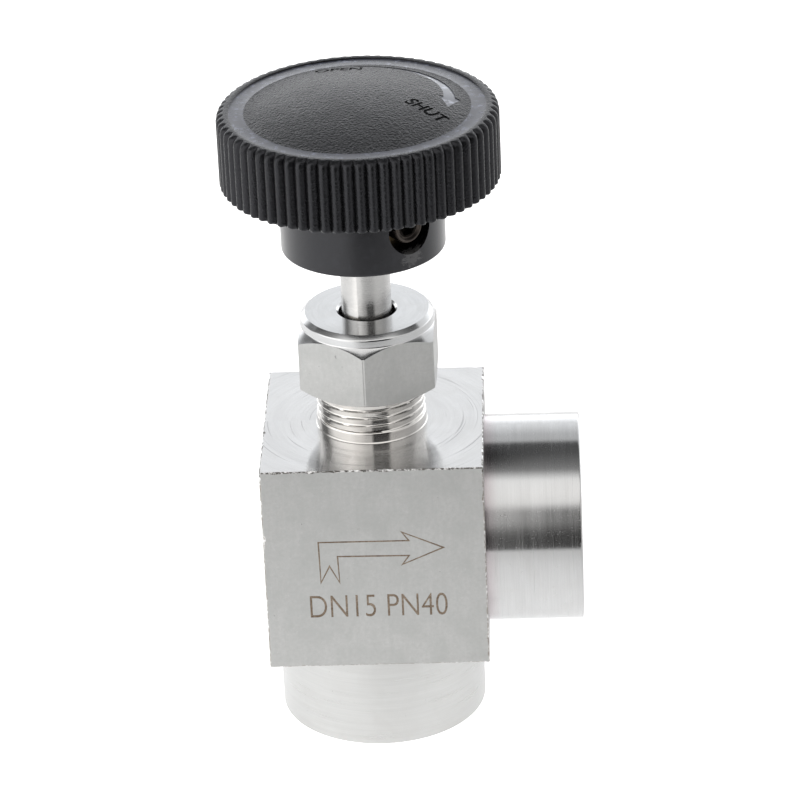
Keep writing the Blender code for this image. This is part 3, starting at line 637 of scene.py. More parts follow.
def give_materials(obj, materials, rule):
    """Give each face one of the materials, by its middle (millimetres from the stem axis)."""
    obj.data.materials.clear()
    for material in materials:
        obj.data.materials.append(material)
    for face in obj.data.polygons:
        middle = (face.center - AXIS) / MM
        face.material_index = materials.index(rule(middle, face.normal))
    return obj


def on_axis(obj):
    return move_mesh(obj, Matrix.Translation(AXIS))


def keep(obj, body, slot, *nodes):
    """Hand a finished piece over: it rides on the body and stands for the CAD nodes."""
    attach(obj, body)
    if nodes:
        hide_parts(*nodes)
    return obj


def six_sided(name, corner, height, rounding=0.0):
    """Upright hexagonal prism about the origin, with its long edges rounded where asked."""
    mesh = bpy.data.meshes.new(name)
    shape = bmesh.new()
    bmesh.ops.create_cone(shape, cap_ends=True, segments=6, radius1=corner * MM, radius2=corner * MM,
                          depth=height * MM)
    if rounding:
        upright = [e for e in shape.edges if abs(e.verts[0].co.z - e.verts[1].co.z) > height / 2 * MM]
        bmesh.ops.bevel(shape, geom=upright, offset=rounding * MM, segments=3, affect="EDGES")
    shape.to_mesh(mesh)
    shape.free()
    return new_object(name, mesh)


OUTLET_PLACE = Matrix.Translation((0.0, 0.0, OUTLET_AXIS * MM)) @ Matrix.Rotation(math.pi / 2, 4, "Y")
SCREW_PLACE = (
    Matrix.Translation((0.0, 0.0, SCREW_AXIS * MM)) @ Matrix.Rotation(SCREW_TURN, 4, "Z")
    @ Matrix.Rotation(math.pi / 2, 4, "Y")
)


# ---- Valve body -------------------------------------------------------------
def make_block():
    """Square block whose broken edges are uneven, as a file leaves them."""
    mesh = bpy.data.meshes.new("block")
    shape = bmesh.new()
    bmesh.ops.create_cube(shape, size=2.0)
    half = Vector((BLOCK_HALF_WIDTH, BLOCK_HALF_DEPTH, (BLOCK_TOP - BLOCK_BOTTOM) / 2)) * MM
    bmesh.ops.scale(shape, vec=half, verts=shape.verts)
    bmesh.ops.bevel(
        shape, geom=shape.edges[:], offset=BLOCK_EDGE * MM, segments=1, affect="EDGES"
    )
    long_edges = [edge for edge in shape.edges if edge.calc_length() > 10 * MM]
    bmesh.ops.subdivide_edges(shape, edges=long_edges, cuts=110)
    for vertex in shape.verts:
        near = [abs(vertex.co[i]) > half[i] - BLOCK_EDGE * 1.01 * MM for i in range(3)]
        flush = [abs(vertex.co[i]) > half[i] - 0.000001 for i in range(3)]
        if sum(near) != 2 or sum(flush) != 1:
            continue
        across = next(i for i in range(3) if near[i] and not flush[i])
        spot = vertex.co * 900.0
        bite = max(0.0, noise.noise(spot)) * 0.22 + abs(noise.noise(spot * 3.1)) * 0.09 - 0.05
        bite += max(0.0, noise.noise(spot * 0.6 + Vector((7.0, 3.0, 1.0))) - 0.3) * 0.5
        vertex.co[across] -= math.copysign(max(-0.06, bite) * MM, vertex.co[across])
    shape.to_mesh(mesh)
    shape.free()
    block = new_object("valve_body_machined", mesh)
    middle = Vector((BLOCK_SHIFT, 0.0, (BLOCK_TOP + BLOCK_BOTTOM) / 2)) * MM
    return move_mesh(block, Matrix.Translation(middle))


def boss(name, root, end, material):
    outline = eased([(0.0, end), (BOSS_RADIUS, end, 0.35), (BOSS_RADIUS, root), (0.0, root)])
    return turned(name, outline, material, columns=160)


def threaded_socket(name, material):
    """Cutter for a G1/2 socket whose mouth is at height 0 and which runs down."""
    outline = eased([
        (0.0, 1.0), (11.2, 1.0), (10.65, 0.0), (10.4, -0.25), (SOCKET_CREST, -1.25),
        (SOCKET_CREST, -SOCKET_DEPTH), (0.0, -SOCKET_DEPTH),
    ])
    outline = with_rows(outline, SOCKET_PITCH / 9, -SOCKET_DEPTH, -1.2)

    def threaded(radius, height):
        return 1.0 if radius > 5 and -SOCKET_DEPTH + 1.6 < height < -1.15 else 0.0

    return turned(name, outline, material, columns=120, thread=threaded, pitch=SOCKET_PITCH,
                  thread_depth=SOCKET_THREAD_DEPTH)


def make_neck():
    outline = eased([
        (0.0, NECK_TOP), (NECK_RADIUS - 0.5, NECK_TOP), (NECK_RADIUS, NECK_TOP - 0.5),
        (NECK_RADIUS, NECK_BAND_TOP), (NECK_RADIUS + 0.1, NECK_BAND_TOP - 0.15, 0.1),
        (NECK_RADIUS + 0.1, BLOCK_TOP + 0.14), (NECK_RADIUS + 0.22, BLOCK_TOP - 0.02),
        (NECK_RADIUS + 0.22, BLOCK_TOP - 1.0), (0.0, BLOCK_TOP - 1.0),
    ])
    outline = with_rows(outline, NECK_PITCH / 14, NECK_BAND_TOP, NECK_TOP - 0.5)

    def threaded(radius, height):
        return 1.0 if radius > 6 and height > NECK_BAND_TOP + 0.05 else 0.0

    return turned("neck", outline, CUT_THREAD, columns=192, thread=threaded, pitch=NECK_PITCH,
                  thread_depth=-NECK_THREAD_DEPTH, form=7.0)


def make_valve_body():
    body = make_block()
    combine(body, boss("inlet", BLOCK_BOTTOM + 1.0, 0.0, BOSS_TURNED), "UNION")
    outlet_root = BLOCK_SHIFT + BLOCK_HALF_WIDTH - 1.0
    combine(body, move_mesh(boss("outlet", outlet_root, OUTLET_FACE, OUTLET_TURNED), OUTLET_PLACE), "UNION")
    combine(body, make_neck(), "UNION")

    inlet = move_mesh(threaded_socket("inlet_socket", BORED), Matrix.Rotation(math.pi, 4, "X"))
    outlet = threaded_socket("outlet_socket", BORED)
    move_mesh(outlet, OUTLET_PLACE @ Matrix.Translation((0.0, 0.0, OUTLET_FACE * MM)))
    seat_bottom = CHAMBER_FLOOR - ORIFICE_LENGTH
    stem_bore = turned("stem_bore", eased([
        (0.0, NECK_TOP + 1), (PACKING_BORE, NECK_TOP + 1), (PACKING_BORE, PACKING_FLOOR),
        (THREAD_BORE, PACKING_FLOOR), (THREAD_BORE, CHAMBER_ROOF), (CHAMBER_RADIUS, CHAMBER_ROOF - 0.6),
        (CHAMBER_RADIUS, CHAMBER_FLOOR), (ORIFICE_RADIUS, CHAMBER_FLOOR), (ORIFICE_RADIUS, seat_bottom),
        (PASSAGE_RADIUS, seat_bottom - 1.5), (PASSAGE_RADIUS, SOCKET_DEPTH - 1.0), (0.0, SOCKET_DEPTH - 1.0),
    ]), BORED, columns=96)
    passage = turned("outlet_passage", [
        (0.0, OUTLET_FACE - SOCKET_DEPTH + 1.0), (PASSAGE_RADIUS, OUTLET_FACE - SOCKET_DEPTH + 1.0),
        (PASSAGE_RADIUS, 0.0), (0.0, 0.0)], BORED, columns=96)
    for hollow in (inlet, outlet, stem_bore, move_mesh(passage, OUTLET_PLACE)):
        combine(body, hollow, "DIFFERENCE")
    on_axis(body)

    right = BLOCK_SHIFT + BLOCK_HALF_WIDTH

    def finish_of(middle, normal):
        from_stem = math.hypot(middle.x, middle.y)
        from_outlet = math.hypot(middle.y, middle.z - OUTLET_AXIS)
        if middle.z > BLOCK_TOP + 0.002:
            return CUT_THREAD if from_stem > PACKING_BORE + 0.1 else BORED
        if middle.z < BLOCK_BOTTOM - 0.002:
            return BOSS_TURNED if from_stem > 10.8 or (normal.z < -0.9 and middle.z < 1) else BORED
        if middle.x > right + 0.002:
            return OUTLET_TURNED if from_outlet > 10.8 or normal.x > 0.9 else BORED
        outside = (
            abs(middle.x - BLOCK_SHIFT) > BLOCK_HALF_WIDTH - 0.75
            or abs(middle.y) > BLOCK_HALF_DEPTH - 0.75
            or middle.z > BLOCK_TOP - 0.75 or middle.z < BLOCK_BOTTOM + 0.75
        )
        if not outside:
            return BORED
        if normal.z > 0.999:
            return FACED
        if max(abs(normal.x), abs(normal.y), abs(normal.z)) > 0.98:
            return GROUND
        if from_stem < 8.5 and middle.z > BLOCK_BOTTOM + 1:
            return CUT_THREAD
        return EDGE if middle.z > BLOCK_TOP - 0.75 else SIDE_EDGE

    give_materials(body, [FACED, GROUND, EDGE, SIDE_EDGE, BOSS_TURNED, OUTLET_TURNED, CUT_THREAD, BORED],
                   finish_of)
    return keep(sides_smooth(body), "valve_body", "stainless_block", "valve_body")


def band_mesh(name, outer, inner, depth):
    """Flat closed band between two outlines of equal length, given as (x, z) on the front face."""
    mesh = bpy.data.meshes.new(name)
    count = len(outer)
    points = []
    for y in (0.0, depth):
        points += [(x * MM, y * MM, z * MM) for x, z in outer]
        points += [(x * MM, y * MM, z * MM) for x, z in inner]
    faces = []
    for i in range(count):
        j = (i + 1) % count
        faces.append((i, j, count + j, count + i))
        faces.append((2 * count + i, 3 * count + i, 3 * count + j, 2 * count + j))
        faces.append((i, 2 * count + i, 2 * count + j, j))
        faces.append((count + i, count + j, 3 * count + j, 3 * count + i))
    mesh.from_pydata(points, [], faces)
    return mesh


def inset_outline(points, width):
    """The outline moved to its inner side by the width. The points run clockwise."""
    result = []
    for index, point in enumerate(points):
        here = Vector(point)
        before = (here - Vector(points[index - 1])).normalized()
        after = (Vector(points[(index + 1) % len(points)]) - here).normalized()
        in_before, in_after = Vector((before.y, -before.x)), Vector((after.y, -after.x))
        middle = (in_before + in_after).normalized()
        result.append(tuple(here + middle * (width / max(0.35, middle.dot(in_after)))))
    return result


def text_mesh(name, words, size, depth, material, thinner=0.0):
    """Lettering as a closed mesh on the XY plane, centred, in millimetres."""
    curve = bpy.data.curves.new(name, "FONT")
    curve.body = words
    curve.size = size * MM
    curve.extrude = depth / 2 * MM
    curve.align_x, curve.align_y = "CENTER", "CENTER"
    curve.offset = -thinner * MM
    curve.resolution_u = 6
    obj = new_object(name, curve)
    depsgraph = bpy.context.evaluated_depsgraph_get()
    mesh = bpy.data.meshes.new_from_object(obj.evaluated_get(depsgraph), depsgraph=depsgraph)
    bpy.data.objects.remove(obj)
    mesh.materials.clear()
    mesh.materials.append(material)
    return face_out(new_object(name, mesh))


def make_front_marking():
    """Flow arrow and nominal size, lasered on the front face."""
    face_y = -BLOCK_HALF_DEPTH - 0.004
    arrow = [
        (-6.93, 30.46), (4.38, 30.43), (3.49, 31.76), (9.13, 29.24), (3.42, 26.76), (4.34, 28.10),
        (-4.39, 28.19), (-4.30, 24.26), (-5.56, 26.71), (-6.80, 24.30),
    ]
    mesh = band_mesh("flow_arrow", arrow, inset_outline(arrow, 0.20), 0.03)
    mesh.materials.append(LASER)
    band = face_out(new_object("flow_arrow", mesh))
    on_axis(move_mesh(band, Matrix.Translation((0.0, face_y * MM, 0.0))))
    keep(band, "valve_body", "stainless_block")

    words = text_mesh("nominal_size", "DN15 PN40", 4.15, 0.03, LASER, thinner=0.035)
    width = max(v.co.x for v in words.data.vertices) - min(v.co.x for v in words.data.vertices)
    height = max(v.co.y for v in words.data.vertices) - min(v.co.y for v in words.data.vertices)
    fit = Matrix.Diagonal((17.4 * MM / width, 3.2 * MM / height, 1.0, 1.0))
    stand = Matrix.Rotation(math.pi / 2, 4, "X")
    spot = Matrix.Translation(Vector((0.35, face_y + 0.015, 20.95)) * MM)
    move_mesh(words, spot @ stand @ fit)
    keep(on_axis(words), "valve_body", "stainless_block")


# ---- Nut, stem and small parts ----------------------------------------------
def make_nut():
    corner = NUT_HALF_FLATS / math.cos(math.pi / 6)
    rim = NUT_COLLAR_RADIUS
    nut = turned("packing_nut_turned", eased([
        (0.0, NUT_TOP), (rim - 0.62, NUT_TOP), (rim, NUT_TOP - 0.55, 0.15), (rim, 54.5, 0.08),
        (rim + 0.06, 54.40), (corner, 53.40), (corner + 0.4, 53.1), (corner + 0.4, 47.4),
        (corner, 47.12), (rim, NUT_BOTTOM), (0.0, NUT_BOTTOM),
    ]), NUT_TURNED, columns=180)
    hexagon = six_sided("hexagon", corner, 20.0, rounding=0.16)
    move_mesh(hexagon, Matrix.Translation((0.0, 0.0, 51 * MM)) @ Matrix.Rotation(NUT_TURN, 4, "Z"))
    combine(nut, hexagon, "INTERSECT")
    bore_outline = with_rows(eased([
        (0.0, NUT_TOP + 1), (NUT_HOLE + 0.25, NUT_TOP + 1), (NUT_HOLE + 0.25, NUT_TOP),
        (NUT_HOLE, NUT_TOP - 0.25), (NUT_HOLE, NUT_ROOF), (NECK_RADIUS + 0.12, NUT_ROOF),
        (NECK_RADIUS + 0.12, NUT_BOTTOM + 0.7), (NECK_RADIUS + 0.75, NUT_BOTTOM),
        (NECK_RADIUS + 1.2, NUT_BOTTOM - 1), (0.0, NUT_BOTTOM - 1),
    ]), 2.0, NUT_BOTTOM, NUT_ROOF)
    combine(nut, turned("nut_bore", bore_outline, BORED, columns=144), "DIFFERENCE")
    on_axis(nut)

    def finish_of(middle, normal):
        from_stem = math.hypot(middle.x, middle.y)
        if from_stem < NECK_RADIUS + 0.3 and middle.z < NUT_TOP - 0.3 and abs(normal.z) < 0.9:
            return BORED
        if abs(normal.z) < 0.02 and from_stem > rim + 0.02 and middle.z < 54.3:
            return NUT_FLAT
        return NUT_TURNED

    give_materials(nut, [NUT_TURNED, NUT_FLAT, BORED], finish_of)
    return keep(sides_smooth(nut, 30), "packing_nut", "stainless_turned", "packing_nut")


def make_stem():
    low, high = stem_low.z / MM, stem_high.z / MM
    foot, thread_radius = 3.1, (stem_high.x - stem_low.x) / 2 / MM
    thread_top, thread_bottom = PACKING_FLOOR - 5.0, PACKING_FLOOR - 12.0
    socket_top = low + 3.6
    outline = with_rows(eased([
        (0.0, high), (STEM_RADIUS - 0.3, high), (STEM_RADIUS, high - 0.3), (STEM_RADIUS, thread_top),
        (thread_radius, thread_top - 0.55), (thread_radius, thread_bottom + 0.55),
        (foot, thread_bottom), (foot, low), (1.8, low), (1.8, low + 1.0), (2.35, low + 1.0),
        (2.35, low + 2.1), (1.8, low + 2.1), (1.8, socket_top), (0.0, socket_top),
    ]), 0.1, thread_bottom, thread_top)

    def threaded(radius, height):
        return 1.0 if thread_bottom + 0.5 < height < thread_top - 0.5 and radius > 3.2 else 0.0

    stem = turned("stem_turned", outline, STEM_TURNED, columns=96, thread=threaded, pitch=1.0,
                  thread_depth=-0.5)
    return keep(sides_smooth(on_axis(stem)), "stem_and_knob", "stainless_turned", "stem")


def make_insert_and_screw():
    low, high = (corner / MM for corner in (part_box("knob_insert")[0].z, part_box("knob_insert")[1].z))
    inner = STEM_RADIUS + 0.3
    outline = eased([
        (INSERT_RADIUS, high), (INSERT_RADIUS, low + 0.02), (inner + 0.35, low + 0.02),
        (inner, low + 0.35), (inner, high), (INSERT_RADIUS, high),
    ])
    insert = turned("knob_insert_turned", outline, BRASS, columns=96)
    tapping = turned("tapping", [(0.0, 9.0), (2.0, 9.0), (2.0, 0.2), (0.0, 0.2)], BRASS, columns=64)
    combine(insert, move_mesh(tapping, SCREW_PLACE), "DIFFERENCE")
    keep(sides_smooth(on_axis(insert)), "stem_and_knob", "brass_insert", "knob_insert")

    screw = turned("set_screw_finished", eased([
        (0.0, SCREW_END - 0.35), (1.35, SCREW_END - 0.35, 0.1), (1.62, SCREW_END, 0.08),
        (1.85, SCREW_END, 0.15), (2.0, SCREW_END - 0.3), (2.0, SCREW_TIP + 0.4), (1.5, SCREW_TIP),
        (0.0, SCREW_TIP)]), OXIDE, columns=64)
    key = move_mesh(six_sided("key", 1.15, 2.6), Matrix.Translation((0.0, 0.0, SCREW_END * MM)))
    combine(screw, key, "DIFFERENCE")
    screw.data.materials.clear()
    for material in (OXIDE, SOCKET_PAINTED_SHADE):
        screw.data.materials.append(material)
    # Faces inside the hex socket take the painted shade.
    for face in screw.data.polygons:
        from_middle = math.hypot(face.center.x, face.center.y) / MM
        in_socket = from_middle < 1.3 and 5.0 < face.center.z / MM < SCREW_END - 0.3
        face.material_index = 1 if in_socket else 0
    move_mesh(screw, SCREW_PLACE)
    keep(sides_smooth(on_axis(screw)), "stem_and_knob", "screw_black_oxide", "set_screw")


# ---- Knob -------------------------------------------------------------------
CROWN_RISE = CROWN_TOP - GROOVE_FLOOR
CROWN_BALL = (GROOVE_INNER ** 2 + CROWN_RISE ** 2) / (2 * CROWN_RISE)


def crown_height(radius):
    return CROWN_TOP - CROWN_BALL + math.sqrt(CROWN_BALL ** 2 - radius ** 2)


def lie_on_crown(obj, depth):
    """Bend a flat cutter, drawn with its foot at height 0, to sink this deep into the crown."""
    for vertex in obj.data.vertices:
        radius = math.hypot(vertex.co.x, vertex.co.y) / MM
        vertex.co.z += (crown_height(min(radius, GROOVE_INNER)) - depth) * MM
    return obj


def around(radius, degrees):
    return radius * math.cos(math.radians(degrees)), radius * math.sin(math.radians(degrees))


def turning_arrow():
    """Cutter for the arrow on the crown, thin at its tail and wider towards its head."""
    steps = 44
    outer, inner = [], []
    for step in range(steps + 1):
        t = step / steps
        middle, half = 12.42 - t ** 1.2, 0.16 + 0.56 * t ** 1.1
        outer.append(around(middle + half, 94 - 88 * t))
        inner.append(around(middle - half, 94 - 88 * t))
    outline = outer + [around(12.76, 3.5), around(11.4, -10.0), around(10.2, 7.2)] + inner[::-1]
    mesh = bpy.data.meshes.new("turning_arrow")
    shape = bmesh.new()
    face = shape.faces.new([shape.verts.new((x * MM, y * MM, 0.0)) for x, y in outline])
    bmesh.ops.triangulate(shape, faces=[face])
    raised = bmesh.ops.extrude_face_region(shape, geom=shape.faces[:])["geom"]
    top = [item for item in raised if isinstance(item, bmesh.types.BMVert)]
    bmesh.ops.translate(shape, vec=(0.0, 0.0, 0.6 * MM), verts=top)
    shape.to_mesh(mesh)
    shape.free()
    return lie_on_crown(face_out(new_object("turning_arrow", mesh)), 0.10)


def crown_word(name, words, x, y, size, turn):
    word = text_mesh(name, words, size, 0.8, HUB_SKIN, thinner=-0.06)
    spot = Matrix.Translation(Vector((x, y, 0.4)) * MM) @ Matrix.Rotation(math.radians(turn), 4, "Z")
    return lie_on_crown(move_mesh(word, spot), 0.13)


def make_knob():
    crown = [(GROOVE_INNER * i / 14, crown_height(GROOVE_INNER * i / 14)) for i in range(14)]
    outline = crown + eased([
        (GROOVE_INNER, GROOVE_FLOOR), (GROOVE_OUTER - 0.02, GROOVE_FLOOR, 0.03),
        (GROOVE_OUTER, RIM_TOP - 0.06, 0.06), (16.2, RIM_TOP, 0.15), (16.7, RIM_TOP - 0.02, 0.3),
        (17.32, RIM_TOP - 0.38, 0.35), (KNOB_RADIUS, RIM_TOP - 0.95, 0.4), (KNOB_RADIUS, RIM_BOTTOM + 0.3),
        (KNOB_RADIUS - 0.02, RIM_BOTTOM + 0.12), (KNOB_RADIUS - 0.1, RIM_BOTTOM + 0.02),
        (KNOB_RADIUS - 0.45, RIM_BOTTOM, 0.1), (POCKET_OUTER + 0.15, RIM_BOTTOM, 0.15),
        (POCKET_OUTER, POCKET_TOP, 0.6), (HUB_RADIUS + 0.05, POCKET_TOP, 0.6),
        (HUB_RADIUS, HUB_BOTTOM + 0.3), (HUB_RADIUS, HUB_BOTTOM, 0.35),
        (INSERT_RADIUS + 0.12, HUB_BOTTOM), (INSERT_RADIUS + 0.12, 77.6), (0.0, 77.6),
    ])
    outline = with_rows(outline, 0.9, RIM_BOTTOM, RIM_TOP - 1.0)

    def fluted(radius, height):
        if height < RIM_BOTTOM + 0.001 and radius < 17.2:
            return 0.0
        if height < RIM_TOP - 1.2 and radius > 17.0:
            return 1.0
        return max(0.0, min(1.0, (radius - 16.45) / 0.6)) if height > RIM_TOP - 1.2 else 0.0

    def at_lower_edge(radius, height):
        return 1.0 if radius > 16.9 and height < RIM_BOTTOM + 0.2 else 0.0

    knob = turned("knob_moulded", outline, RIM_SKIN, columns=FLUTES * 12, flute=fluted, flutes=FLUTES,
                  flute_depth=FLUTE_DEPTH, torn=at_lower_edge, ragged=0.55)
    for index in range(RIBS):
        direction = math.tau * (index + 0.5) / RIBS
        mesh = bpy.data.meshes.new("rib")
        shape = bmesh.new()
        bmesh.ops.create_cube(shape, size=1.0)
        bmesh.ops.scale(shape, vec=Vector(RIB_SIZE) * MM, verts=shape.verts)
        shape.to_mesh(mesh)
        shape.free()
        place = Matrix.Rotation(direction, 4, "Z") @ Matrix.Translation(Vector(RIB_MIDDLE) * MM)
        combine(knob, move_mesh(new_object("rib", mesh), place), "UNION")
    well = turned("well", eased([
        (0.0, 13.0), (SCREW_WELL + 0.3, 13.0), (SCREW_WELL + 0.25, 10.4, 0.2), (SCREW_WELL, 9.9, 0.2),
        (SCREW_WELL, 1.0), (0.0, 1.0)]), HUB_SKIN, columns=72)
    combine(knob, move_mesh(well, SCREW_PLACE), "DIFFERENCE")
    combine(knob, turning_arrow(), "DIFFERENCE")
    combine(knob, crown_word("word_open", "OPEN", -2.6, 10.9, 2.35, -3.0), "DIFFERENCE")
    combine(knob, crown_word("word_shut", "SHUT", 8.6, -3.7, 2.5, -44.0), "DIFFERENCE")
    on_axis(knob)

    def finish_of(middle, normal):
        radius = math.hypot(middle.x, middle.y)
        if middle.z > RIM_TOP - 0.45 and normal.z > 0.2:
            if radius < GROOVE_INNER and middle.z > crown_height(radius) - 0.06:
                return GRAINED
            # Sunk floors: the arrow's gets a painted reflection, the words' a painted shade.
            if radius < GROOVE_INNER:
                return ARROW_WITH_PAINTED_REFLECTION if -12 < math.degrees(math.atan2(middle.y, middle.x)) < 84 \
                    and radius > 10.1 else WORDS_WITH_PAINTED_SHADE
            # The smooth ring gets its painted reflection.
            return RING_WITH_PAINTED_REFLECTION if radius < GROOVE_OUTER - 0.01 else RIM_SKIN
        return RIM_SKIN if radius > 16.6 else HUB_SKIN

    give_materials(knob, [GRAINED, RING_WITH_PAINTED_REFLECTION, ARROW_WITH_PAINTED_REFLECTION, WORDS_WITH_PAINTED_SHADE, RIM_SKIN, HUB_SKIN], finish_of)
    return keep(sides_smooth(knob, 40), "stem_and_knob", "knob_black", "knob")


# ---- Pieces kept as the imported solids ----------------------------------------
def refinish(node, material):
    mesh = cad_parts[node].data
    mesh.materials.clear()
    mesh.materials.append(material)


# ---- Stage, light and camera ------------------------------------------------
def make_stage():
    """White sheet that ends a little in front of the valve. Its glow is a painted pool of light: stronger to
    the left, behind and close round the valve, and plain white to the camera.
    """
    mesh = bpy.data.meshes.new("floor")
    mesh.from_pydata([(-3, -0.165, 0), (3, -0.165, 0), (3, 3, 0), (-3, 3, 0)], [], [(0, 1, 2, 3)])
    floor = new_object("floor", mesh)
    floor.location.z = -0.0001
    material = bpy.data.materials.new("sheet_with_painted_glow")
    material.use_nodes = True
    tree = material.node_tree
    shader = tree.nodes["Principled BSDF"]
    place = add(tree, "ShaderNodeTexCoord").outputs["Object"]
    paper = noise_at(tree, place, 900.0, 3.0, 0.6)
    tree.links.new(colour_mix(tree, paper, grey(0.83), grey(0.88)), shader.inputs["Base Color"])
    shader.inputs["Roughness"].default_value = 0.9
    shader.inputs["Specular IOR Level"].default_value = 0.1
    shader.inputs["Emission Color"].default_value = (1.0, 1.0, 1.0, 1.0)
    across = add(tree, "ShaderNodeSeparateXYZ", {0: place}).outputs
    # Painted pool of light for the metal to reflect: more glow to the left, behind, and near the valve.
    far_lit = maths(tree, "MAXIMUM", ramp(tree, across[0], -0.10, 0.07, 0.56, 0.12),
                    ramp(tree, across[1], 0.0, 0.12, 0.12, 0.40))
    away = add(tree, "ShaderNodeVectorMath", {0: place}, operation="LENGTH").outputs["Value"]
    glow = plus(tree, far_lit, ramp(tree, away, 0.025, 0.10, 0.32, 0.0))
    seen = add(tree, "ShaderNodeLightPath").outputs["Is Camera Ray"]
    tree.links.new(maths(tree, "MAXIMUM", glow, times(tree, seen, 0.85)),
                   shader.inputs["Emission Strength"])
    mesh.materials.append(material)


def tone_curve(tree, value, low, high, points):
    """Levels (up to 2) at given places between low and high, joined smoothly."""
    made = add(tree, "ShaderNodeValToRGB", {0: ramp(tree, value, low, high)})
    stops = made.color_ramp.elements
    while len(stops) > 1:
        stops.remove(stops[-1])
    for index, (place, level) in enumerate(points):
        share = (place - low) / (high - low)
        stop = stops[0] if index == 0 else stops.new(share)
        stop.position = share
        stop.color = grey(level / 2)
    return times(tree, made.outputs[0], 2.0)


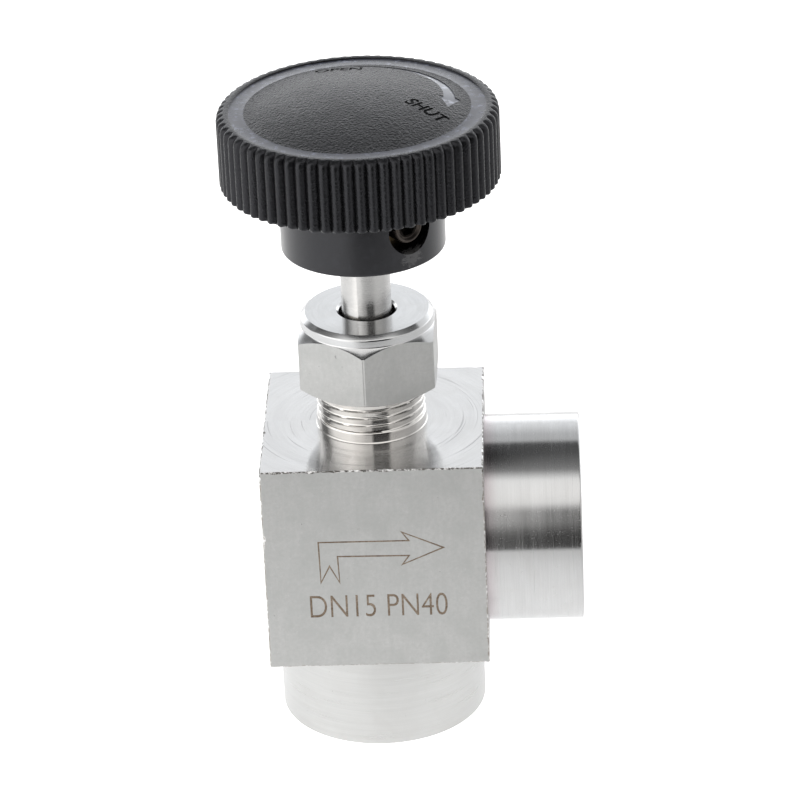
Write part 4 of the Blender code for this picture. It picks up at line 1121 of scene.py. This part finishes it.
def make_light_tent():
    """White tent with a dark slot overhead and a dark opening in front, as a world shader."""
    world = bpy.data.worlds.new("light_tent")
    bpy.context.scene.world = world
    world.use_nodes = True
    tree = world.node_tree
    tree.nodes.clear()
    way = split(tree, add(tree, "ShaderNodeTexCoord").outputs["Generated"])
    rise = maths(tree, "MAXIMUM", way[2], 0.001)
    tilt = maths(tree, "DIVIDE", way[1], rise)
    lean = maths(tree, "ABSOLUTE", maths(tree, "DIVIDE", way[0], rise))
    slot = times(
        tree, ramp(tree, tilt, -0.40, -0.18), ramp(tree, tilt, 0.50, 0.61, 1.0, 0.0),
        ramp(tree, lean, 1.1, 1.9, 1.0, 0.0), maths(tree, "GREATER_THAN", way[2], 0.0),
    )

    flat = maths(tree, "SQRT", plus(tree, times(tree, way[0], way[0]), times(tree, way[1], way[1])))
    degrees = 180 / math.pi
    elevation = times(tree, maths(tree, "ARCTAN2", way[2], flat), degrees)
    bearing = times(tree, maths(tree, "ARCTAN2", way[0], times(tree, way[1], -1.0)), degrees)
    walls = tone_curve(tree, bearing, -180, 180, [
        (-180, 1.15), (-134, 1.2), (-125, 0.25), (-106, 0.22), (-98, 0.9), (-84, 1.85), (-45, 2.0),
        (-28, 1.5), (-12, 1.3), (38, 1.2), (48, 0.78), (90, 0.80), (112, 1.0), (150, 1.2), (180, 1.15)])
    roof = tone_curve(tree, way[1], -1, 1, [(-1, 1.3), (-0.2, 1.3), (0.2, 0.72), (1, 0.72)])
    high = ramp(tree, elevation, 30, 48)
    level = add(tree, "ShaderNodeMix", {0: high, 2: walls, 3: roof}, data_type="FLOAT").outputs[0]

    ahead = times(tree, ramp(tree, bearing, -24, -8), ramp(tree, bearing, 38, 46, 1.0, 0.0))
    doorway = tone_curve(tree, elevation, -90, 90, [
        (-90, 0.07), (4, 0.07), (11, 0.22), (19, 0.62), (26, 0.76), (39, 0.90), (52, 1.0)])
    shaded = minus(tree, 1.0, times(tree, ahead, minus(tree, 1.0, doorway)))
    stand = times(
        tree, ramp(tree, bearing, -1, 5), ramp(tree, bearing, 35, 42, 1.0, 0.0),
        ramp(tree, elevation, 32, 41, 0.96, 0.0),
    )
    low_back = times(tree, ramp(tree, elevation, 8, 25, 0.95, 0.0), ramp(tree, way[1], 0.1, 0.5))
    slot_shade = times(tree, slot, ramp(tree, tilt, -0.25, 0.45, 0.72, 0.87))
    dark = times(tree, shaded, plus(tree, 1.0, low_back), minus(tree, 1.0, stand),
                 minus(tree, 1.0, slot_shade))
    cool = colour_mix(tree, ramp(tree, way[1], -0.6, 0.9), (1.0, 0.985, 0.965, 1.0), (0.965, 0.98, 1.0, 1.0))
    tent = add(
        tree, "ShaderNodeBackground",
        {"Color": cool, "Strength": times(tree, level, dark)},
    ).outputs[0]
    backdrop = add(tree, "ShaderNodeBackground", {"Color": (1.0, 1.0, 1.0, 1.0), "Strength": 1.15}).outputs[0]
    seen = add(tree, "ShaderNodeLightPath").outputs["Is Camera Ray"]
    mixed = add(tree, "ShaderNodeMixShader", {0: seen, 1: tent, 2: backdrop}).outputs[0]
    tree.links.new(mixed, add(tree, "ShaderNodeOutputWorld").inputs["Surface"])


CAMERA_AZIMUTH, CAMERA_ELEVATION, CAMERA_ROLL = 2.32, 26.68, -2.5555
CAMERA_LENS, CAMERA_DISTANCE, CAMERA_AIM = 193.7, 0.54738, (3.674, 0.0, 42.94)


def make_camera():
    """Camera turned to the angles above (degrees), aimed at a point given in mm from the axis."""
    azimuth, elevation, roll = (
        math.radians(angle) for angle in (CAMERA_AZIMUTH, CAMERA_ELEVATION, CAMERA_ROLL)
    )
    right = Vector((math.cos(azimuth), math.sin(azimuth), 0.0))
    back = Vector((math.sin(azimuth) * math.cos(elevation), -math.cos(azimuth) * math.cos(elevation),
                   math.sin(elevation)))
    up = back.cross(right)
    right, up = (math.cos(roll) * right + math.sin(roll) * up, math.cos(roll) * up - math.sin(roll) * right)
    lens = bpy.data.cameras.new("camera")
    lens.sensor_width = 36.0
    lens.lens = CAMERA_LENS
    lens.clip_start, lens.clip_end = 0.01, 20.0
    camera = bpy.data.objects.new("camera", lens)
    bpy.context.scene.collection.objects.link(camera)
    spot = AXIS + Vector(CAMERA_AIM) * MM + back * CAMERA_DISTANCE
    camera.matrix_world = Matrix.Translation(spot) @ Matrix((right, up, back)).transposed().to_4x4()
    bpy.context.scene.camera = camera


make_camera()
make_stage()
make_light_tent()
bpy.context.scene.view_settings.view_transform = "Standard"

make_valve_body()
make_front_marking()
make_nut()
make_stem()
make_insert_and_screw()
make_knob()
for node_name, finish in (
    ("packing_washer", HARD_STEEL), ("packing_lower_adapter", PTFE), ("packing_chevron_1", PTFE),
    ("packing_chevron_2", PTFE), ("packing_chevron_3", PTFE), ("packing_upper_adapter", PTFE),
    ("needle_tip", HARD_STEEL), ("tip_snap_ring", SPRING), ("gland_follower", STEM_TURNED),
    ("gland_thrust_washer", FILLED_PTFE),
):
    refinish(node_name, finish)
